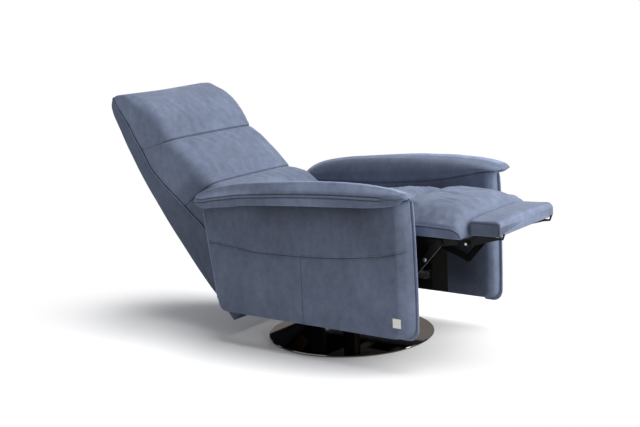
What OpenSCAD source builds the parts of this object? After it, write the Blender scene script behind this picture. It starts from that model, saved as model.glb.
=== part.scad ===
// Swivel recliner with a two-part leg rest, shown fully reclined with the legs out.
// Millimetres. X is the sitter's left, -Y the front, Z up from the floor at the swivel axis.

/* [Base] */
// Diameter of the round floor disc
base_d = 600; // [480:5:680]
// Thickness of the floor disc
base_t = 6; // [4:1:12]
// Thickness of the felt under the disc
felt_t = 2; // [1:0.5:4]
// Outside diameter of the column
column_d = 60; // [54:1:80]
// Wall of the column tube
column_wall = 4; // [3:0.5:6]
// Diameter of the swivel spindle
spindle_d = 30; // [24:1:36]
// Height of the arms' underside above the floor
clear_z = 120; // [105:1:180]

/* [Arms] */
// Clear width between the arms
seat_w = 500; // [470:2:640]
// Thickness of one arm
arm_t = 85; // [70:1:120]
// Reach of the arms in front of the swivel axis
arm_front = 462; // [452:1:505]
// Reach of the arms behind the swivel axis, at their top
arm_back = 385; // [370:1:420]
// How far the soft brim stands out beyond the arm's outer face
brim = 23; // [12:1:32]
// Thickness of the board inside an arm
core_t = 18; // [12:1:24]

/* [Seat and back] */
// Distance from the swivel axis forward to the leg rest's hinge
seat_front = 316; // [306:1:326]
// Height of the leg rest's hinge above the arms' underside
hinge_h = 310; // [300:1:330]
// Height of the cushions' seam above their underside
boxing = 41; // [30:1:55]
// Crown of the seat above its side seams
seat_crown = 50; // [20:1:56]
// Lean of the back's lower rear face in the reclined pose, from vertical
back_lean = 40.5; // [38:0.5:42]
// Length of the back along its rear face
back_len = 973; // [940:1:1000]
// Thickness of the upholstered rear panel
rear_t = 15; // [10:1:18]
// Thickness of one upholstered side panel of the back
side_t = 12; // [6:1:12]

/* [Leg rest] */
// Length of the main leg pad
leg_len = 287; // [270:1:310]
// Length of the folding foot pad
foot_len = 110; // [90:1:125]
// Half width of the folding foot pad
foot_half = 188; // [176:1:196]
// Thickness of the steel links and brackets
steel_t = 5; // [4:0.5:5]
// Width of the steel links
link_w = 24; // [20:1:26]
// Diameter of the pivot pins
pin_d = 10; // [8:1:12]

/* [Drives] */
// Diameter of the actuator rods
rod_d = 18; // [14:1:20]
// Diameter of the cross tubes
tube_d = 20; // [18:1:24]
// Radius of the crank on the torsion tube
crank_r = 60; // [50:1:62]

/* [Hidden] */
$fn = 64;

upholstery = [0.36, 0.41, 0.51];
upholstery_dark = [0.27, 0.30, 0.40];
black_steel = [0.10, 0.10, 0.11];
dark_chrome = [0.16, 0.15, 0.15];
bright_steel = [0.72, 0.72, 0.74];
black_plastic = [0.07, 0.07, 0.08];

// Gaps: between soft or sliding neighbours, in a running bore, and beside a moving link
gap = 0.3;
run = 0.15;
side_gap = 1;

// Lateral layers, counted inwards from the arm's inner face
xi = seat_w / 2;
xo = xi + arm_t;
xm = xi + arm_t / 2;
lining_t = 1.5;
x_mount = xi - lining_t - steel_t;
rail_x = 14.5;
x_rail = x_mount - rail_x;
groove = 10;
x_plate = x_rail - side_gap * 2 - steel_t;
x_lower = x_plate - side_gap * 1.5 - steel_t;
x_upper = x_lower - side_gap - steel_t;
x_bracket = x_upper - side_gap - steel_t;
soft_half = xi - 5;
back_half = xi - 10;

// Heights above the arms' underside
function up(h) = clear_z + h;

// Pivots as [y, z]
leg_hinge = [-seat_front, up(hinge_h)];
torsion_pivot = leg_hinge + [126, -95];
elbow = leg_hinge + [-54, -160];
leg_pivot = leg_hinge + [-194, -5];
foot_hinge = leg_hinge + [-leg_len + 18, -8];
back_hinge = [225, up(295)];
crank_pin = torsion_pivot + crank_r * [cos(225), sin(225)];
leg_motor_pivot = [200, crank_pin[1]];
recline_motor_pivot = [-100, up(80)];
recline_pin = [350, up(80)];
hinge_eye = 26;

// Bottom line of the seat cushion, and the underside of the leg pads
pad_z = leg_hinge[1] + 18;
seat_slope = 0.092;
seat_rear = 210;
function seat_bottom(y) = pad_z - 4 - (y + seat_front) * seat_slope;

// Helpers
function arc(c, r, a0, a1, n) = [for (i = [0:n]) c + r * [cos(a0 + (a1 - a0) * i / n), sin(a0 + (a1 - a0) * i / n)]];
function mean(ps) = [for (k = [0:2]) let (v = [for (p = ps) p[k]]) v * [for (p = ps) 1] / len(ps)];

module sides() {
    children();
    mirror([1, 0, 0]) children();
}

// A flat plate standing in the YZ plane, from x to x + t
module plate(x, t) {
    translate([x, 0, 0]) rotate([90, 0, 90]) linear_extrude(t) children();
}

module bar_x(p, d, x0, x1) {
    translate([x0, p[0], p[1]]) rotate([0, 90, 0]) cylinder(d = d, h = x1 - x0);
}

module dot(p, d) {
    translate(p) circle(d = d);
}

// Flat bar with round ends between two pivots; its sides end just inside the rounds
module strip(p, q, w) {
    v = q - p;
    dot(p, w);
    dot(q, w);
    translate(p) rotate(atan2(v[1], v[0])) translate([0, -w / 2 + 0.1]) square([norm(v), w - 0.2]);
}

// Closed skin through rings of equal count, ordered so that x cross loft direction is the ring's up
module loft(rings) {
    n = len(rings[0]);
    m = len(rings);
    points = concat([for (r = rings) each r], [mean(rings[0]), mean(rings[m - 1])]);
    walls = [for (i = [0:m - 2]) for (j = [0:n - 1])
        let (a = i * n + j, b = i * n + (j + 1) % n, c = a + n, d = b + n)
        each [[a, c, d], [a, d, b]]];
    first_cap = [for (j = [0:n - 1]) [j, (j + 1) % n, m * n]];
    last_cap = [for (j = [0:n - 1]) [(m - 1) * n + (j + 1) % n, (m - 1) * n + j, m * n + 1]];
    polyhedron(points, concat(walls, first_cap, last_cap), convexity = 6);
}

// Cushion section as [x, height]: small lower corners, soft upper corners and a crown
function section(half, lo, hi, rb, rt, crown, nc = 4, nm = 5) =
    let (raw = concat(
        arc([-half + rb, lo + rb], rb, 270, 180, nc),
        arc([-half + rt, hi - rt], rt, 180, 90, nc),
        [for (i = [1:nm]) [-half + rt + 2 * (half - rt) * i / (nm + 1), hi]],
        arc([half - rt, hi - rt], rt, 90, 0, nc),
        arc([half - rb, lo + rb], rb, 0, -90, nc)))
    [for (p = raw) [p[0], p[1] + crown * (1 - pow(p[0] / half, 4)) * (p[1] - lo) / (hi - lo)]];

// Inset of a round end of radius r, at distance d from the end
function round_in(d, r) = d >= r ? 0 : r - sqrt(max(0, r * r - (r - d) * (r - d)));

// Base
disc_top = felt_t + base_t;
bearing_z = clear_z - 10;
column_top = bearing_z - 6;
swivel_t = 8;
swivel_top = clear_z + 2 + swivel_t;
spindle_foot = disc_top + 12;
screw_r = 15;

module base_felt() {
    color([0.1, 0.1, 0.1]) difference() {
        cylinder(d = base_d - 30, h = felt_t, $fn = 128);
        translate([0, 0, -1]) cylinder(r = screw_r + 8, h = felt_t + 2);
    }
}

module base_disc() {
    edge = base_t / 3;
    color(dark_chrome) difference() {
        rotate_extrude($fn = 160) polygon([
            [0, felt_t], [base_d / 2 - edge, felt_t], [base_d / 2, felt_t + edge],
            [base_d / 2, disc_top - edge], [base_d / 2 - edge, disc_top], [0, disc_top]]);
        for (a = [0:120:240]) rotate(a) translate([screw_r, 0, 0]) {
            cylinder(d = 6, h = disc_top + 1);
            translate([0, 0, felt_t - 1]) cylinder(d = 12, h = 4);
        }
    }
}

module column_screws() {
    color(black_steel) for (a = [0:120:240]) rotate(a) translate([screw_r, 0, 0]) {
        translate([0, 0, felt_t + 0.2]) cylinder(d = 11.5, h = 2.8);
        translate([0, 0, felt_t + 3]) cylinder(d = 5.8, h = base_t + 5);
    }
}

module base_column() {
    color(dark_chrome) difference() {
        union() {
            translate([0, 0, disc_top]) cylinder(d = column_d, h = column_top - disc_top);
            translate([0, 0, column_top]) cylinder(d = column_d + 90, h = bearing_z - column_top);
        }
        translate([0, 0, spindle_foot]) cylinder(d = column_d - 2 * column_wall, h = bearing_z);
        for (a = [0:120:240]) rotate(a) translate([screw_r, 0, 0])
            cylinder(d = 6, h = disc_top + 8);
    }
}

module column_bush() {
    bush_h = 46;
    color(black_plastic) translate([0, 0, bearing_z - bush_h]) difference() {
        cylinder(d = column_d - 2 * column_wall, h = bush_h);
        translate([0, 0, -1]) cylinder(d = spindle_d + run, h = bush_h + 2);
    }
}

module race(z, h) {
    translate([0, 0, z]) difference() {
        cylinder(d = column_d + 90, h = h);
        translate([0, 0, -1]) cylinder(d = column_d + 20, h = h + 2);
    }
}

module bearing_lower() {
    color(bright_steel) race(bearing_z, 6 - gap);
}

module bearing_upper() {
    color(bright_steel) race(bearing_z + 6, 6);
}

module swivel_spindle() {
    color(bright_steel) translate([0, 0, spindle_foot + 8])
        cylinder(d = spindle_d, h = swivel_top - spindle_foot - 8);
}

module swivel_plate() {
    color(black_steel) difference() {
        translate([-150, -120, clear_z + 2]) cube([300, 240, swivel_t]);
        translate([0, 0, clear_z]) cylinder(d = spindle_d, h = swivel_t + 4);
    }
}

// Swivelling frame
rail_y = [-60, 80];

module frame_rails() {
    color(black_steel) for (y = rail_y) difference() {
        translate([-x_mount, y - 20, swivel_top]) cube([2 * x_mount, 40, 30]);
        translate([-x_mount - 1, y - 17, swivel_top + 3]) cube([2 * x_mount + 2, 34, 24]);
    }
}

module mount_plates() {
    color(black_steel) sides() plate(x_mount, steel_t) difference() {
        polygon([[-197, up(12)], [212, up(12)], [212, up(200)], [-140, up(210)], [-197, up(150)]]);
        for (y = [-182, 195]) dot([y, up(22)], 8);
    }
}

slot_lo = up(56);
slot_h = 18;
slide_stroke = 70;
shoe_len = 44;
shoe_y = [-60, 145];

module slide_rails() {
    color([0.45, 0.45, 0.47]) sides() difference() {
        translate([x_rail, -188, slot_lo - 6]) cube([rail_x, 393, slot_h + 12]);
        translate([x_rail - 1, -189, slot_lo]) cube([groove + 1, 395, slot_h]);
    }
}

// Arm outlines: heights of the panel top under the soft pad, of the brim and of the crest
front_lean = 6;
pad_front = arm_front + 13;
inner_top = [[-475, 589], [-418, 578], [-358, 564], [-275, 545], [-191, 531], [-61, 517], [28, 510], [166, 504],
    [385, 496], [410, 503], [430, 518]];
brim_low = [[-475, 589], [-463, 581], [-448, 571], [-403, 559], [-230, 548], [-68, 542], [60, 534], [261, 508],
    [370, 495], [395, 499], [412, 505], [430, 514]];
crest_out = [[-475, 593], [-463, 601], [-440, 609], [-402, 617], [-346, 623], [-250, 626], [-130, 623], [0, 613],
    [110, 602], [194, 589], [251, 576], [300, 562], [349, 547], [374, 539], [400, 529], [430, 518]];
crest_in = [[-475, 591], [-440, 598], [-412, 603], [-353, 611], [-281, 613], [-167, 612], [-85, 610], [11, 606],
    [73, 601], [136, 596], [200, 590], [265, 582], [346, 569], [402, 549], [430, 535]];
arm_rings = concat([for (d = [0, 4, 12, 23, 38, 73]) -pad_front + d], [-346, -275, -191, -130, -61, 28, 110, 194, 261, 333],
    [for (d = [-15, 0, 12, 27, 38, 44]) arm_back + d]);
function rise(table, y) = lookup(y, table) - 120 + clear_z;
function inner_seat(y) = min(rise(inner_top, y), rise(crest_in, y) - 4);
function outer_seat(y) = let (z = rise(brim_low, y)) z + min(8, (rise(crest_out, y) - z) / 3);
inner_line = [for (y = arm_rings) [y, inner_seat(y)]];
outer_line = [for (y = arm_rings) [y, outer_seat(y)]];
function panel_top(outer, y) = lookup(y, outer ? outer_line : inner_line) - gap;

// Side outline of an arm panel as [y, z], inset at the front and at its other edges
function arm_outline(outer, front_in, edge_in) =
    let (
        z0 = clear_z + edge_in,
        yf = -arm_front + front_in,
        yr = arm_back - edge_in,
        yb = yr - 49,
        rf = 42,
        rr = 34,
        yn = yf + front_lean,
        mids = [for (k = [16:-1:5]) [arm_rings[k], panel_top(outer, arm_rings[k])]],
        tops = concat([[yr, panel_top(outer, yr) - 3]], mids, [[yn, panel_top(outer, yn) - 3]])
    )
    concat(
        arc([yf + rf, z0 + rf], rf, 180, 270, 6),
        arc([yb - rr, z0 + rr], rr, 270, 353, 5),
        tops);

// One half of an arm: flat at the middle seam, round at the nose, softened round its face
module arm_half(outer) {
    t = arm_t / 2 - 1.5;
    nose = 40;
    steps = 6;
    rings = [for (k = [0:steps])
        let (
            f = sin(90 * k / steps),
            x = outer ? xm + 1.5 + t * f : xm - 1.5 - t * f,
            share = outer ? 0.6 : 0,
            dip = nose * (share * f + (1 - share) * (1 - cos(90 * k / steps))),
            o = arm_outline(outer, dip, 7 * pow(k / steps, 3))
        )
        [for (p = o) [x, p[0], p[1]]]];
    ordered = outer ? rings : [for (r = rings) [for (i = [len(r) - 1:-1:0]) r[i]]];
    difference() {
        loft(ordered);
        plate(xm - core_t / 2 - gap, core_t + 2 * gap) polygon(core_outline(gap));
    }
}

function core_outline(grow) =
    let (
        yf = -arm_front + 42 - grow,
        yr = arm_back - 45 + grow,
        z0 = clear_z + 25 - grow
    )
    [[yf, z0], [yr - 46, z0], [yr, up(350) + grow], [60, up(368) + grow], [-300, up(400) + grow], [yf, up(415) + grow]];

module arm_core() {
    color([0.72, 0.58, 0.40]) plate(xm - core_t / 2, core_t) polygon(core_outline(0));
}

function squeeze(d, r) = d >= r ? 1 : max(0.14, sqrt(1 - (1 - d / r) * (1 - d / r)));

// Soft arm pad: crowned cap with a flap that hangs over the outer face and a pointed rear end
function pad_ring(y) =
    let (
        zb = rise(brim_low, y),
        zi = rise(crest_in, y),
        zc = rise(crest_out, y),
        lo = inner_seat(y),
        hang = outer_seat(y),
        h = zi - lo,
        g = zc - zb,
        front = y < 0,
        d = front ? y + pad_front : arm_back + 44 - y,
        xc = front ? xo - 4 : xo - 18,
        width = squeeze(d, front ? 38 : 60)
    )
    [for (p = [
        [xi + 1, lo], [xi - 1, lo + 0.30 * h], [xi + 2, lo + 0.58 * h], [xi + 12, lo + 0.84 * h],
        [xm - 14, zi], [xm + 4, (zi + zc) / 2 + 0.04 * g], [xo - 16, zc], [xo - 1, zc - 0.14 * g],
        [xo + brim * 0.6, zc - 0.36 * g], [xo + brim * 0.9, zc - 0.56 * g], [xo + brim, zb + 0.2 * g],
        [xo + brim * 0.95, zb], [xo + brim * 0.55, zb + 0.02 * g], [xo + gap, hang - 2], [xo + gap, hang],
        [xm + 0.2, hang], [xm - 1.2, lo]
    ]) [xc + (p[0] - xc) * width, y, p[1]]];

module arm_pad() {
    color(upholstery) loft([for (y = arm_rings) pad_ring(y)]);
}

module arm_linings() {
    color([0.15, 0.14, 0.13]) sides() plate(xi - lining_t, lining_t)
        polygon([[-262, up(6)], [300, up(6)], [330, up(300)], [-262, up(300)]]);
}

// Plain square plate low at the front of the sitter's right arm
module corner_plate() {
    color(bright_steel) translate([-xo - 1.2, -arm_front + 26, up(43)]) cube([1.2, 31, 31]);
}

// Switch panel on the inner face of the sitter's right arm, with two rockers
panel_y = -345;
panel_z = up(404);
panel_t = 4;
rocker_t = 2.4;
rocker_y = [panel_y - 14, panel_y + 14];
rocker_pin_x = -xi + 2.4;

module control_panel() {
    color(black_plastic) difference() {
        translate([-xi, panel_y - 32, panel_z - 12]) cube([panel_t, 64, 24]);
        for (y = rocker_y) {
            translate([-xi - 1, y - 11, panel_z - 8]) cube([panel_t + 2, 22, 16]);
            translate([rocker_pin_x, y, panel_z - 10]) cylinder(d = 1.6 + run, h = 20);
        }
    }
}

// One rocker switch on its small upright pin
module rocker(y) {
    color([0.55, 0.56, 0.58]) {
        translate([rocker_pin_x - rocker_t / 2, y - 10, panel_z - 7]) cube([rocker_t, 20, 14]);
        translate([rocker_pin_x, y, panel_z - 9.5]) cylinder(d = 1.6, h = 19);
    }
}

module rocker_back() {
    rocker(rocker_y[0]);
}

module rocker_legs() {
    rocker(rocker_y[1]);
}

module battery_pack() {
    color(black_plastic) translate([-140, rail_y[0] + 22, swivel_top])
        cube([170, rail_y[1] - rail_y[0] - 44, 32]);
}

// Seat carriage
module seat_plate() {
    color(black_steel) plate(x_plate, steel_t) difference() {
        union() {
            polygon([
                leg_hinge + [0, -13], torsion_pivot + [-16, -22], torsion_pivot + [34, -90],
                [-140, slot_lo], [172, slot_lo], [226, leg_motor_pivot[1] - 20], back_hinge + [13, 0],
                back_hinge + [-13, 0], [seat_rear + 2, seat_bottom(seat_rear) - 2],
                [-seat_front, seat_bottom(-seat_front) - 2]]);
            dot(leg_hinge, 24);
            dot(back_hinge, hinge_eye);
        }
        dot(leg_hinge, pin_d);
        dot(back_hinge, pin_d);
        dot(torsion_pivot, pin_d + run);
    }
}

rail_drop = 2.5;
rail_h = 24;
seat_rail_w = 24;

module seat_rails() {
    y0 = -seat_front + 22;
    y1 = seat_rear - 4;
    color(black_steel) sides() plate(x_plate - seat_rail_w, seat_rail_w) polygon([
        [y0, seat_bottom(y0) - rail_drop - rail_h], [y1, seat_bottom(y1) - rail_drop - rail_h],
        [y1, seat_bottom(y1) - rail_drop], [y0, seat_bottom(y0) - rail_drop]]);
}

module seat_tubes() {
    x = x_plate - seat_rail_w;
    color(black_steel) for (y = [-seat_front + 36, seat_rear - 18])
        bar_x([y, seat_bottom(y) - rail_drop - rail_h / 2], tube_d, -x, x);
}

module motor_tubes() {
    color(black_steel) for (p = [leg_motor_pivot, recline_motor_pivot]) bar_x(p, tube_d, -x_plate, x_plate);
}

module slider_shoes() {
    x0 = x_plate + steel_t;
    x1 = x_rail + groove - gap;
    color([0.85, 0.85, 0.82]) sides() for (y = shoe_y)
        translate([x0, y - shoe_len / 2, slot_lo + gap]) cube([x1 - x0, shoe_len, slot_h - 2 * gap]);
}

module seat_straps() {
    w = 50;
    count = 7;
    y0 = -seat_front + 60;
    y1 = seat_rear - 60;
    color([0.12, 0.12, 0.12]) for (k = [0:count - 1]) {
        y = y0 + (y1 - y0) * k / (count - 1);
        plate(-x_plate + 1, 2 * x_plate - 2) polygon([
            [y - w / 2, seat_bottom(y - w / 2) - rail_drop], [y + w / 2, seat_bottom(y + w / 2) - rail_drop],
            [y + w / 2, seat_bottom(y + w / 2) - gap], [y - w / 2, seat_bottom(y - w / 2) - gap]]);
    }
}

module seat_cushion() {
    y0 = -seat_front + 4;
    len_y = seat_rear - y0;
    ds = [0, 5, 14, 40, 110, 190, 280, 360, 440, 480, 505, len_y - 6, len_y];
    rings = [for (d = ds)
        let (
            y = y0 + d,
            lo = seat_bottom(y),
            tuck = round_in(d, 14) + round_in(len_y - d, 26),
            hi = lo + boxing + 4 + 14 * d / len_y - tuck,
            half = soft_half - 3 * sin(180 * d / len_y) - tuck / 3
        )
        [for (p = section(half, lo, hi, 6, 12, seat_crown * (1 - 0.5 * d / len_y) - tuck * 0.6)) [p[0], y, p[1]]]];
    color(upholstery) loft(rings);
}

module hinge_pins() {
    inner = x_bracket - 3;
    color(bright_steel) sides() {
        bar_x(leg_hinge, pin_d, inner, x_plate + steel_t);
        bar_x(leg_hinge, pin_d + 8, x_bracket + steel_t + side_gap, x_plate);
        bar_x(back_hinge, pin_d, x_plate - 2 * steel_t - 2, x_plate + steel_t);
    }
}

// Drives
leg_motor_x = -80;
recline_motor_x = 80;
eye_t = 12;
lug_inner = max(eye_t, rod_d) / 2 + side_gap;

module motor_body(p, x, motor_side, tube_from, tube_to, bore_from) {
    z = p[1];
    difference() {
        union() {
            bar_x(p, tube_d + 14, x - 15, x + 15);
            translate([x - 15, min(p[0], tube_from), z - 15]) cube([30, abs(tube_from - p[0]), 30]);
            translate([x - 28, min(tube_from, tube_from + sign(tube_to - tube_from) * 62), z - 28]) cube([56, 62, 56]);
            translate([x, min(tube_from, tube_to), z]) rotate([-90, 0, 0]) cylinder(d = rod_d + 16, h = abs(tube_to - tube_from));
            bar_x([tube_from + sign(tube_to - tube_from) * 31, z], 46,
                min(x, x + motor_side * 105), max(x, x + motor_side * 105));
        }
        bar_x(p, tube_d + run, x - 16, x + 16);
        translate([x, min(bore_from, tube_to), z]) rotate([-90, 0, 0])
            cylinder(d = rod_d + run, h = abs(tube_to - bore_from));
        translate([x, min(tube_to, tube_to + sign(tube_to - tube_from)), z]) rotate([-90, 0, 0])
            cylinder(d = rod_d + run, h = 1);
    }
}

module rod_end(p, x, from, eye_bore) {
    difference() {
        union() {
            translate([x, min(p[0], from), p[1]]) rotate([-90, 0, 0]) cylinder(d = rod_d, h = abs(from - p[0]));
            bar_x(p, rod_d + 12, x - eye_t / 2, x + eye_t / 2);
        }
        bar_x(p, eye_bore, x - rod_d, x + rod_d);
    }
}

module leg_actuator() {
    color([0.13, 0.13, 0.14]) motor_body(leg_motor_pivot, leg_motor_x, -1, 172, -60, 62);
}

module leg_actuator_rod() {
    color(bright_steel) rod_end(crank_pin, leg_motor_x, -40, pin_d);
}

module recline_actuator() {
    color([0.13, 0.13, 0.14]) motor_body(recline_motor_pivot, recline_motor_x, 1, -72, 172, 40);
}

module recline_actuator_rod() {
    color(bright_steel) rod_end(recline_pin, recline_motor_x, 50, pin_d + 12);
}

// Back, in its own curved coordinates: s runs up the rear face, w forward from it
back_foot = [351, up(-63)];
back_straight = 520;
back_radius = 1110;
function lean(s) = back_lean - max(0, s - back_straight) / back_radius * 180 / PI;
function rear_face(s) =
    let (a = lean(s), l = min(s, back_straight))
    back_foot + l * [sin(back_lean), cos(back_lean)]
        + back_radius * [cos(a) - cos(back_lean), sin(back_lean) - sin(a)];
function back_at(s, w) = rear_face(s) + w * [-cos(lean(s)), sin(lean(s))];

// Side seam and front face of the cushions above the rear face; a longer back stretches them above back_fixed
seam_w = [[0, 76], [60, 116], [200, 126], [329, 128], [384, 121], [446, 101], [571, 92], [642, 82], [719, 72],
    [770, 66], [836, 56], [887, 44], [932, 24], [973, 10]];
front_w = [[215, 334], [256, 336], [307, 326], [362, 309], [395, 286], [433, 257], [523, 238], [632, 218], [712, 196],
    [776, 186], [844, 172], [897, 153], [940, 124], [965, 98], [985, 60], [995, 38]];
back_fixed = 260;
back_drawn = 973;
back_stretch = (back_len - back_fixed) / (back_drawn - back_fixed);
function on_back(share) = min(share, back_fixed) + max(0, share - back_fixed) * back_stretch;
function as_drawn(s) = min(s, back_fixed) + max(0, s - back_fixed) / back_stretch;
function side_w(s) = lookup(as_drawn(s), seam_w);
function face_w(s) = lookup(as_drawn(s), front_w);

// Stations up the back for one cushion, closer together at its ends
function stations(from, to, n) = [for (k = [0:n]) on_back(from + (to - from) * (0.5 - 0.5 * cos(180 * k / n)))];
lower_seam = [228, 446];
middle_seam = [450, 744];
head_seam = [748, 971];
lower_rows = 9;
middle_rows = 11;
head_rows = 12;

// A strip of the back's side view between two widths, from s0 to s1
function back_strip(s0, s1, n, w0, w1) = concat(
    [for (k = [0:n]) let (s = s0 + (s1 - s0) * k / n) back_at(s, min(w0, side_w(s) - 2))],
    [for (k = [n:-1:0]) let (s = s0 + (s1 - s0) * k / n) back_at(s, min(w1, side_w(s) - 1))]);

module back_panel() {
    n = 16;
    top = back_len - 8;
    rings = [for (k = [0:n]) let (s = top * k / n, e = s < 1 ? 6 : 0) [
        for (p = [[-back_half, 4], [-back_half, rear_t], [back_half, rear_t], [back_half, 4], [back_half - 8, 0],
            [-back_half + 8, 0]])
            let (w = min(p[1], side_w(s) - 1.5), q = back_at(s, w)) [p[0], q[0], q[1]]]];
    color(upholstery_dark) loft(rings);
}

module back_side() {
    n = 20;
    top = on_back(925);
    seam = concat([4, 60, 120, 180], stations(lower_seam[0], lower_seam[1], lower_rows),
        stations(middle_seam[0], middle_seam[1], middle_rows),
        [for (s = stations(head_seam[0], head_seam[1], head_rows)) if (s < top - 4) s], [top]);
    color(upholstery_dark) plate(back_half - side_t, side_t) polygon(concat(
        [for (k = [0:n]) back_at(4 + (top - 4) * k / n, rear_t + side_gap)],
        [for (k = [len(seam) - 1:-1:0]) back_at(seam[k], max(rear_t + 2, side_w(seam[k]) - 0.4))]));
}

upright_w = 24;
upright_x = x_lower - upright_w;

module back_uprights() {
    color([0.72, 0.58, 0.40]) sides() plate(upright_x, upright_w)
        polygon(back_strip(on_back(90), on_back(880), 12, rear_t + 1, 58));
}

bar_low = back_at(152, 65);
bar_mid = back_at(on_back(500), 40);
bar_top = back_at(on_back(800), 35);

module back_bars() {
    color(black_steel) {
        bar_x(bar_low, tube_d + 2, -upright_x, upright_x);
        bar_x(bar_mid, tube_d, -upright_x, upright_x);
        bar_x(bar_top, tube_d, -upright_x, upright_x);
    }
}

module recline_lug() {
    inner = lug_inner;
    color(black_steel) {
        for (x = [recline_motor_x - inner - 6, recline_motor_x + inner]) plate(x, 6) difference() {
            strip(bar_low, recline_pin, 26);
            dot(bar_low, tube_d + 2);
        }
        bar_x(recline_pin, pin_d, recline_motor_x - inner - 1, recline_motor_x + inner + 1);
    }
}

module back_brackets() {
    color(black_steel) sides() plate(x_lower, steel_t) difference() {
        union() {
            dot(back_hinge, hinge_eye);
            polygon([
                back_hinge + [8, 9], back_at(206, 310), back_at(220, 116), back_at(310, 108), back_at(318, 24),
                back_at(110, 24), back_at(112, 90), back_at(164, 300), back_hinge + [-8, -9]]);
        }
        dot(back_hinge, pin_d + run);
    }
}

// One cushion of the back between two seams, each seam given at the side seam and at the front face
module back_cushion(low, high, rows, puff, tuck_low, tuck_high) {
    rings = [for (k = [0:rows])
        let (
            t = k / rows,
            e = 0.5 - 0.5 * cos(180 * t),
            sb = on_back(low[0] + (high[0] - low[0]) * e),
            sf = on_back(low[1] + (high[1] - low[1]) * e),
            wb = side_w(sb),
            wf = face_w(sf),
            run_len = abs(high[1] - low[1]),
            tuck = round_in(e * run_len, tuck_low) + round_in((1 - e) * run_len, tuck_high),
            depth = wf - wb - tuck * 0.7 + puff * sin(180 * e),
            half = back_half - tuck / 4 - 2 * sin(180 * e),
            round_top = min(30, depth * 0.45),
            crown = min(12, depth / 5) * (tuck_high < 5 ? 1 - e * e * e : 1)
        )
        [for (p = section(half, 0, depth, min(8, depth / 5), round_top, crown))
            let (f = p[1] / max(1, wf - wb), q = back_at(sb + (sf - sb) * f, wb + p[1])) [p[0], q[0], q[1]]]];
    color(upholstery) loft(rings);
}

module head_pad() {
    back_cushion([head_seam[0], 710], [head_seam[1], 994], head_rows, 0, 26, 2);
}

module middle_pad() {
    back_cushion([middle_seam[0], 436], [middle_seam[1], 705], middle_rows, 8, 20, 26);
}

module lower_pad() {
    back_cushion([lower_seam[0], 214], [lower_seam[1], 431], lower_rows, 6, 16, 18);
}

// Leg rest
foot_top = 46;
foot_z = pad_z + 5;
foot_y0 = foot_hinge[0] - 19;
board_t = 10;

module leg_board() {
    color(black_steel) translate([-x_bracket + gap, -seat_front - leg_len + 16, pad_z - board_t - gap])
        cube([2 * (x_bracket - gap), leg_len - 38, board_t]);
}

module leg_pad() {
    y1 = -seat_front - 2;
    y0 = y1 - leg_len + 2;
    len_y = y1 - y0;
    ds = [0, 4, 11, 22, 36, 70, 120, 170, 220, len_y - 16, len_y - 6, len_y];
    rings = [for (d = ds)
        let (
            y = y0 + d,
            nose = round_in(d, 38),
            tuck = nose + round_in(len_y - d, 14),
            hi = pad_z + boxing - 4 * (1 - d / len_y) - tuck * 0.85,
            half = soft_half - 1 - 3 * sin(180 * d / len_y) - nose / 4
        )
        [for (p = section(half, pad_z, hi, min(5, (hi - pad_z) / 3), min(12, (hi - pad_z) / 2.2),
            seat_crown * (1 - nose / 60) * (1 - 0.16 * max(0, 1 - d / 110)) - tuck / 5)) [p[0], y, p[1]]]];
    color(upholstery) loft(rings);
}

module leg_brackets() {
    color(black_steel) sides() {
        plate(x_bracket, steel_t) difference() {
            union() {
                dot(leg_hinge, 24);
                polygon([
                    leg_hinge + [0, -12], leg_hinge + [0, 6], leg_hinge + [-20, 6], [-seat_front - leg_len + 30, pad_z - board_t],
                    [-seat_front - leg_len + 30, pad_z - 24], leg_pivot + [0, -12]]);
                dot(leg_pivot, link_w);
            }
            dot(leg_hinge, pin_d + run);
        }
        bar_x(leg_pivot, pin_d + 6, x_bracket - 3, x_bracket);
    }
}

lug_x = foot_half - 20;
foot_board_t = 4;

module foot_lugs() {
    top = pad_z - board_t - 2 * gap;
    color(black_steel) sides() plate(lug_x, steel_t) union() {
        dot(foot_hinge, 20);
        polygon([foot_hinge + [-10, 0], foot_hinge + [10, -3], [foot_hinge[0] + 44, top], [foot_hinge[0] + 2, top]]);
    }
    color(bright_steel) sides() {
        bar_x(foot_hinge, 12, lug_x + steel_t, lug_x + steel_t + 3);
        bar_x(foot_hinge, pin_d, lug_x - steel_t - 2, lug_x);
    }
}

module foot_board() {
    half = lug_x - steel_t - side_gap - gap;
    color(black_steel) translate([-half, foot_y0 - foot_len + 30, foot_z - foot_board_t - gap])
        cube([2 * half, foot_len - 44, foot_board_t]);
}

module foot_pad() {
    y1 = foot_y0;
    y0 = y1 - foot_len;
    ds = [0, 3, 9, 18, 40, 70, foot_len - 10, foot_len - 3, foot_len];
    rings = [for (d = ds)
        let (
            tuck = round_in(d, 18) + round_in(foot_len - d, 10),
            hi = foot_z + foot_top + 4 * (1 - d / foot_len) - tuck * 0.7,
            lo = foot_z + 3 * (1 - d / foot_len) + round_in(d, 9) * 0.6,
            half = foot_half - tuck / 5 - 1.5 * sin(180 * d / foot_len)
        )
        [for (p = section(half, lo, hi, 4, 10, 8 - tuck / 4)) [p[0], y0 + d, p[1]]]];
    color(upholstery) loft(rings);
}

module foot_brackets() {
    x = lug_x - steel_t - side_gap;
    under = foot_z - foot_board_t;
    tip = foot_y0 - foot_len - 8;
    color(black_steel) sides() plate(x, steel_t) difference() {
        union() {
            dot(foot_hinge, 22);
            polygon([
                foot_hinge + [-3, 10], foot_hinge + [-10, 3], foot_hinge + [-4, -11], foot_hinge + [-62, 6],
                [tip + 30, under - 8], [tip + 9, under - 5], [tip + 2, under + 13], [tip + 6, under + 15],
                [tip + 12, under], [foot_y0 - 8, under]]);
        }
        dot(foot_hinge, pin_d + run);
    }
}

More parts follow.
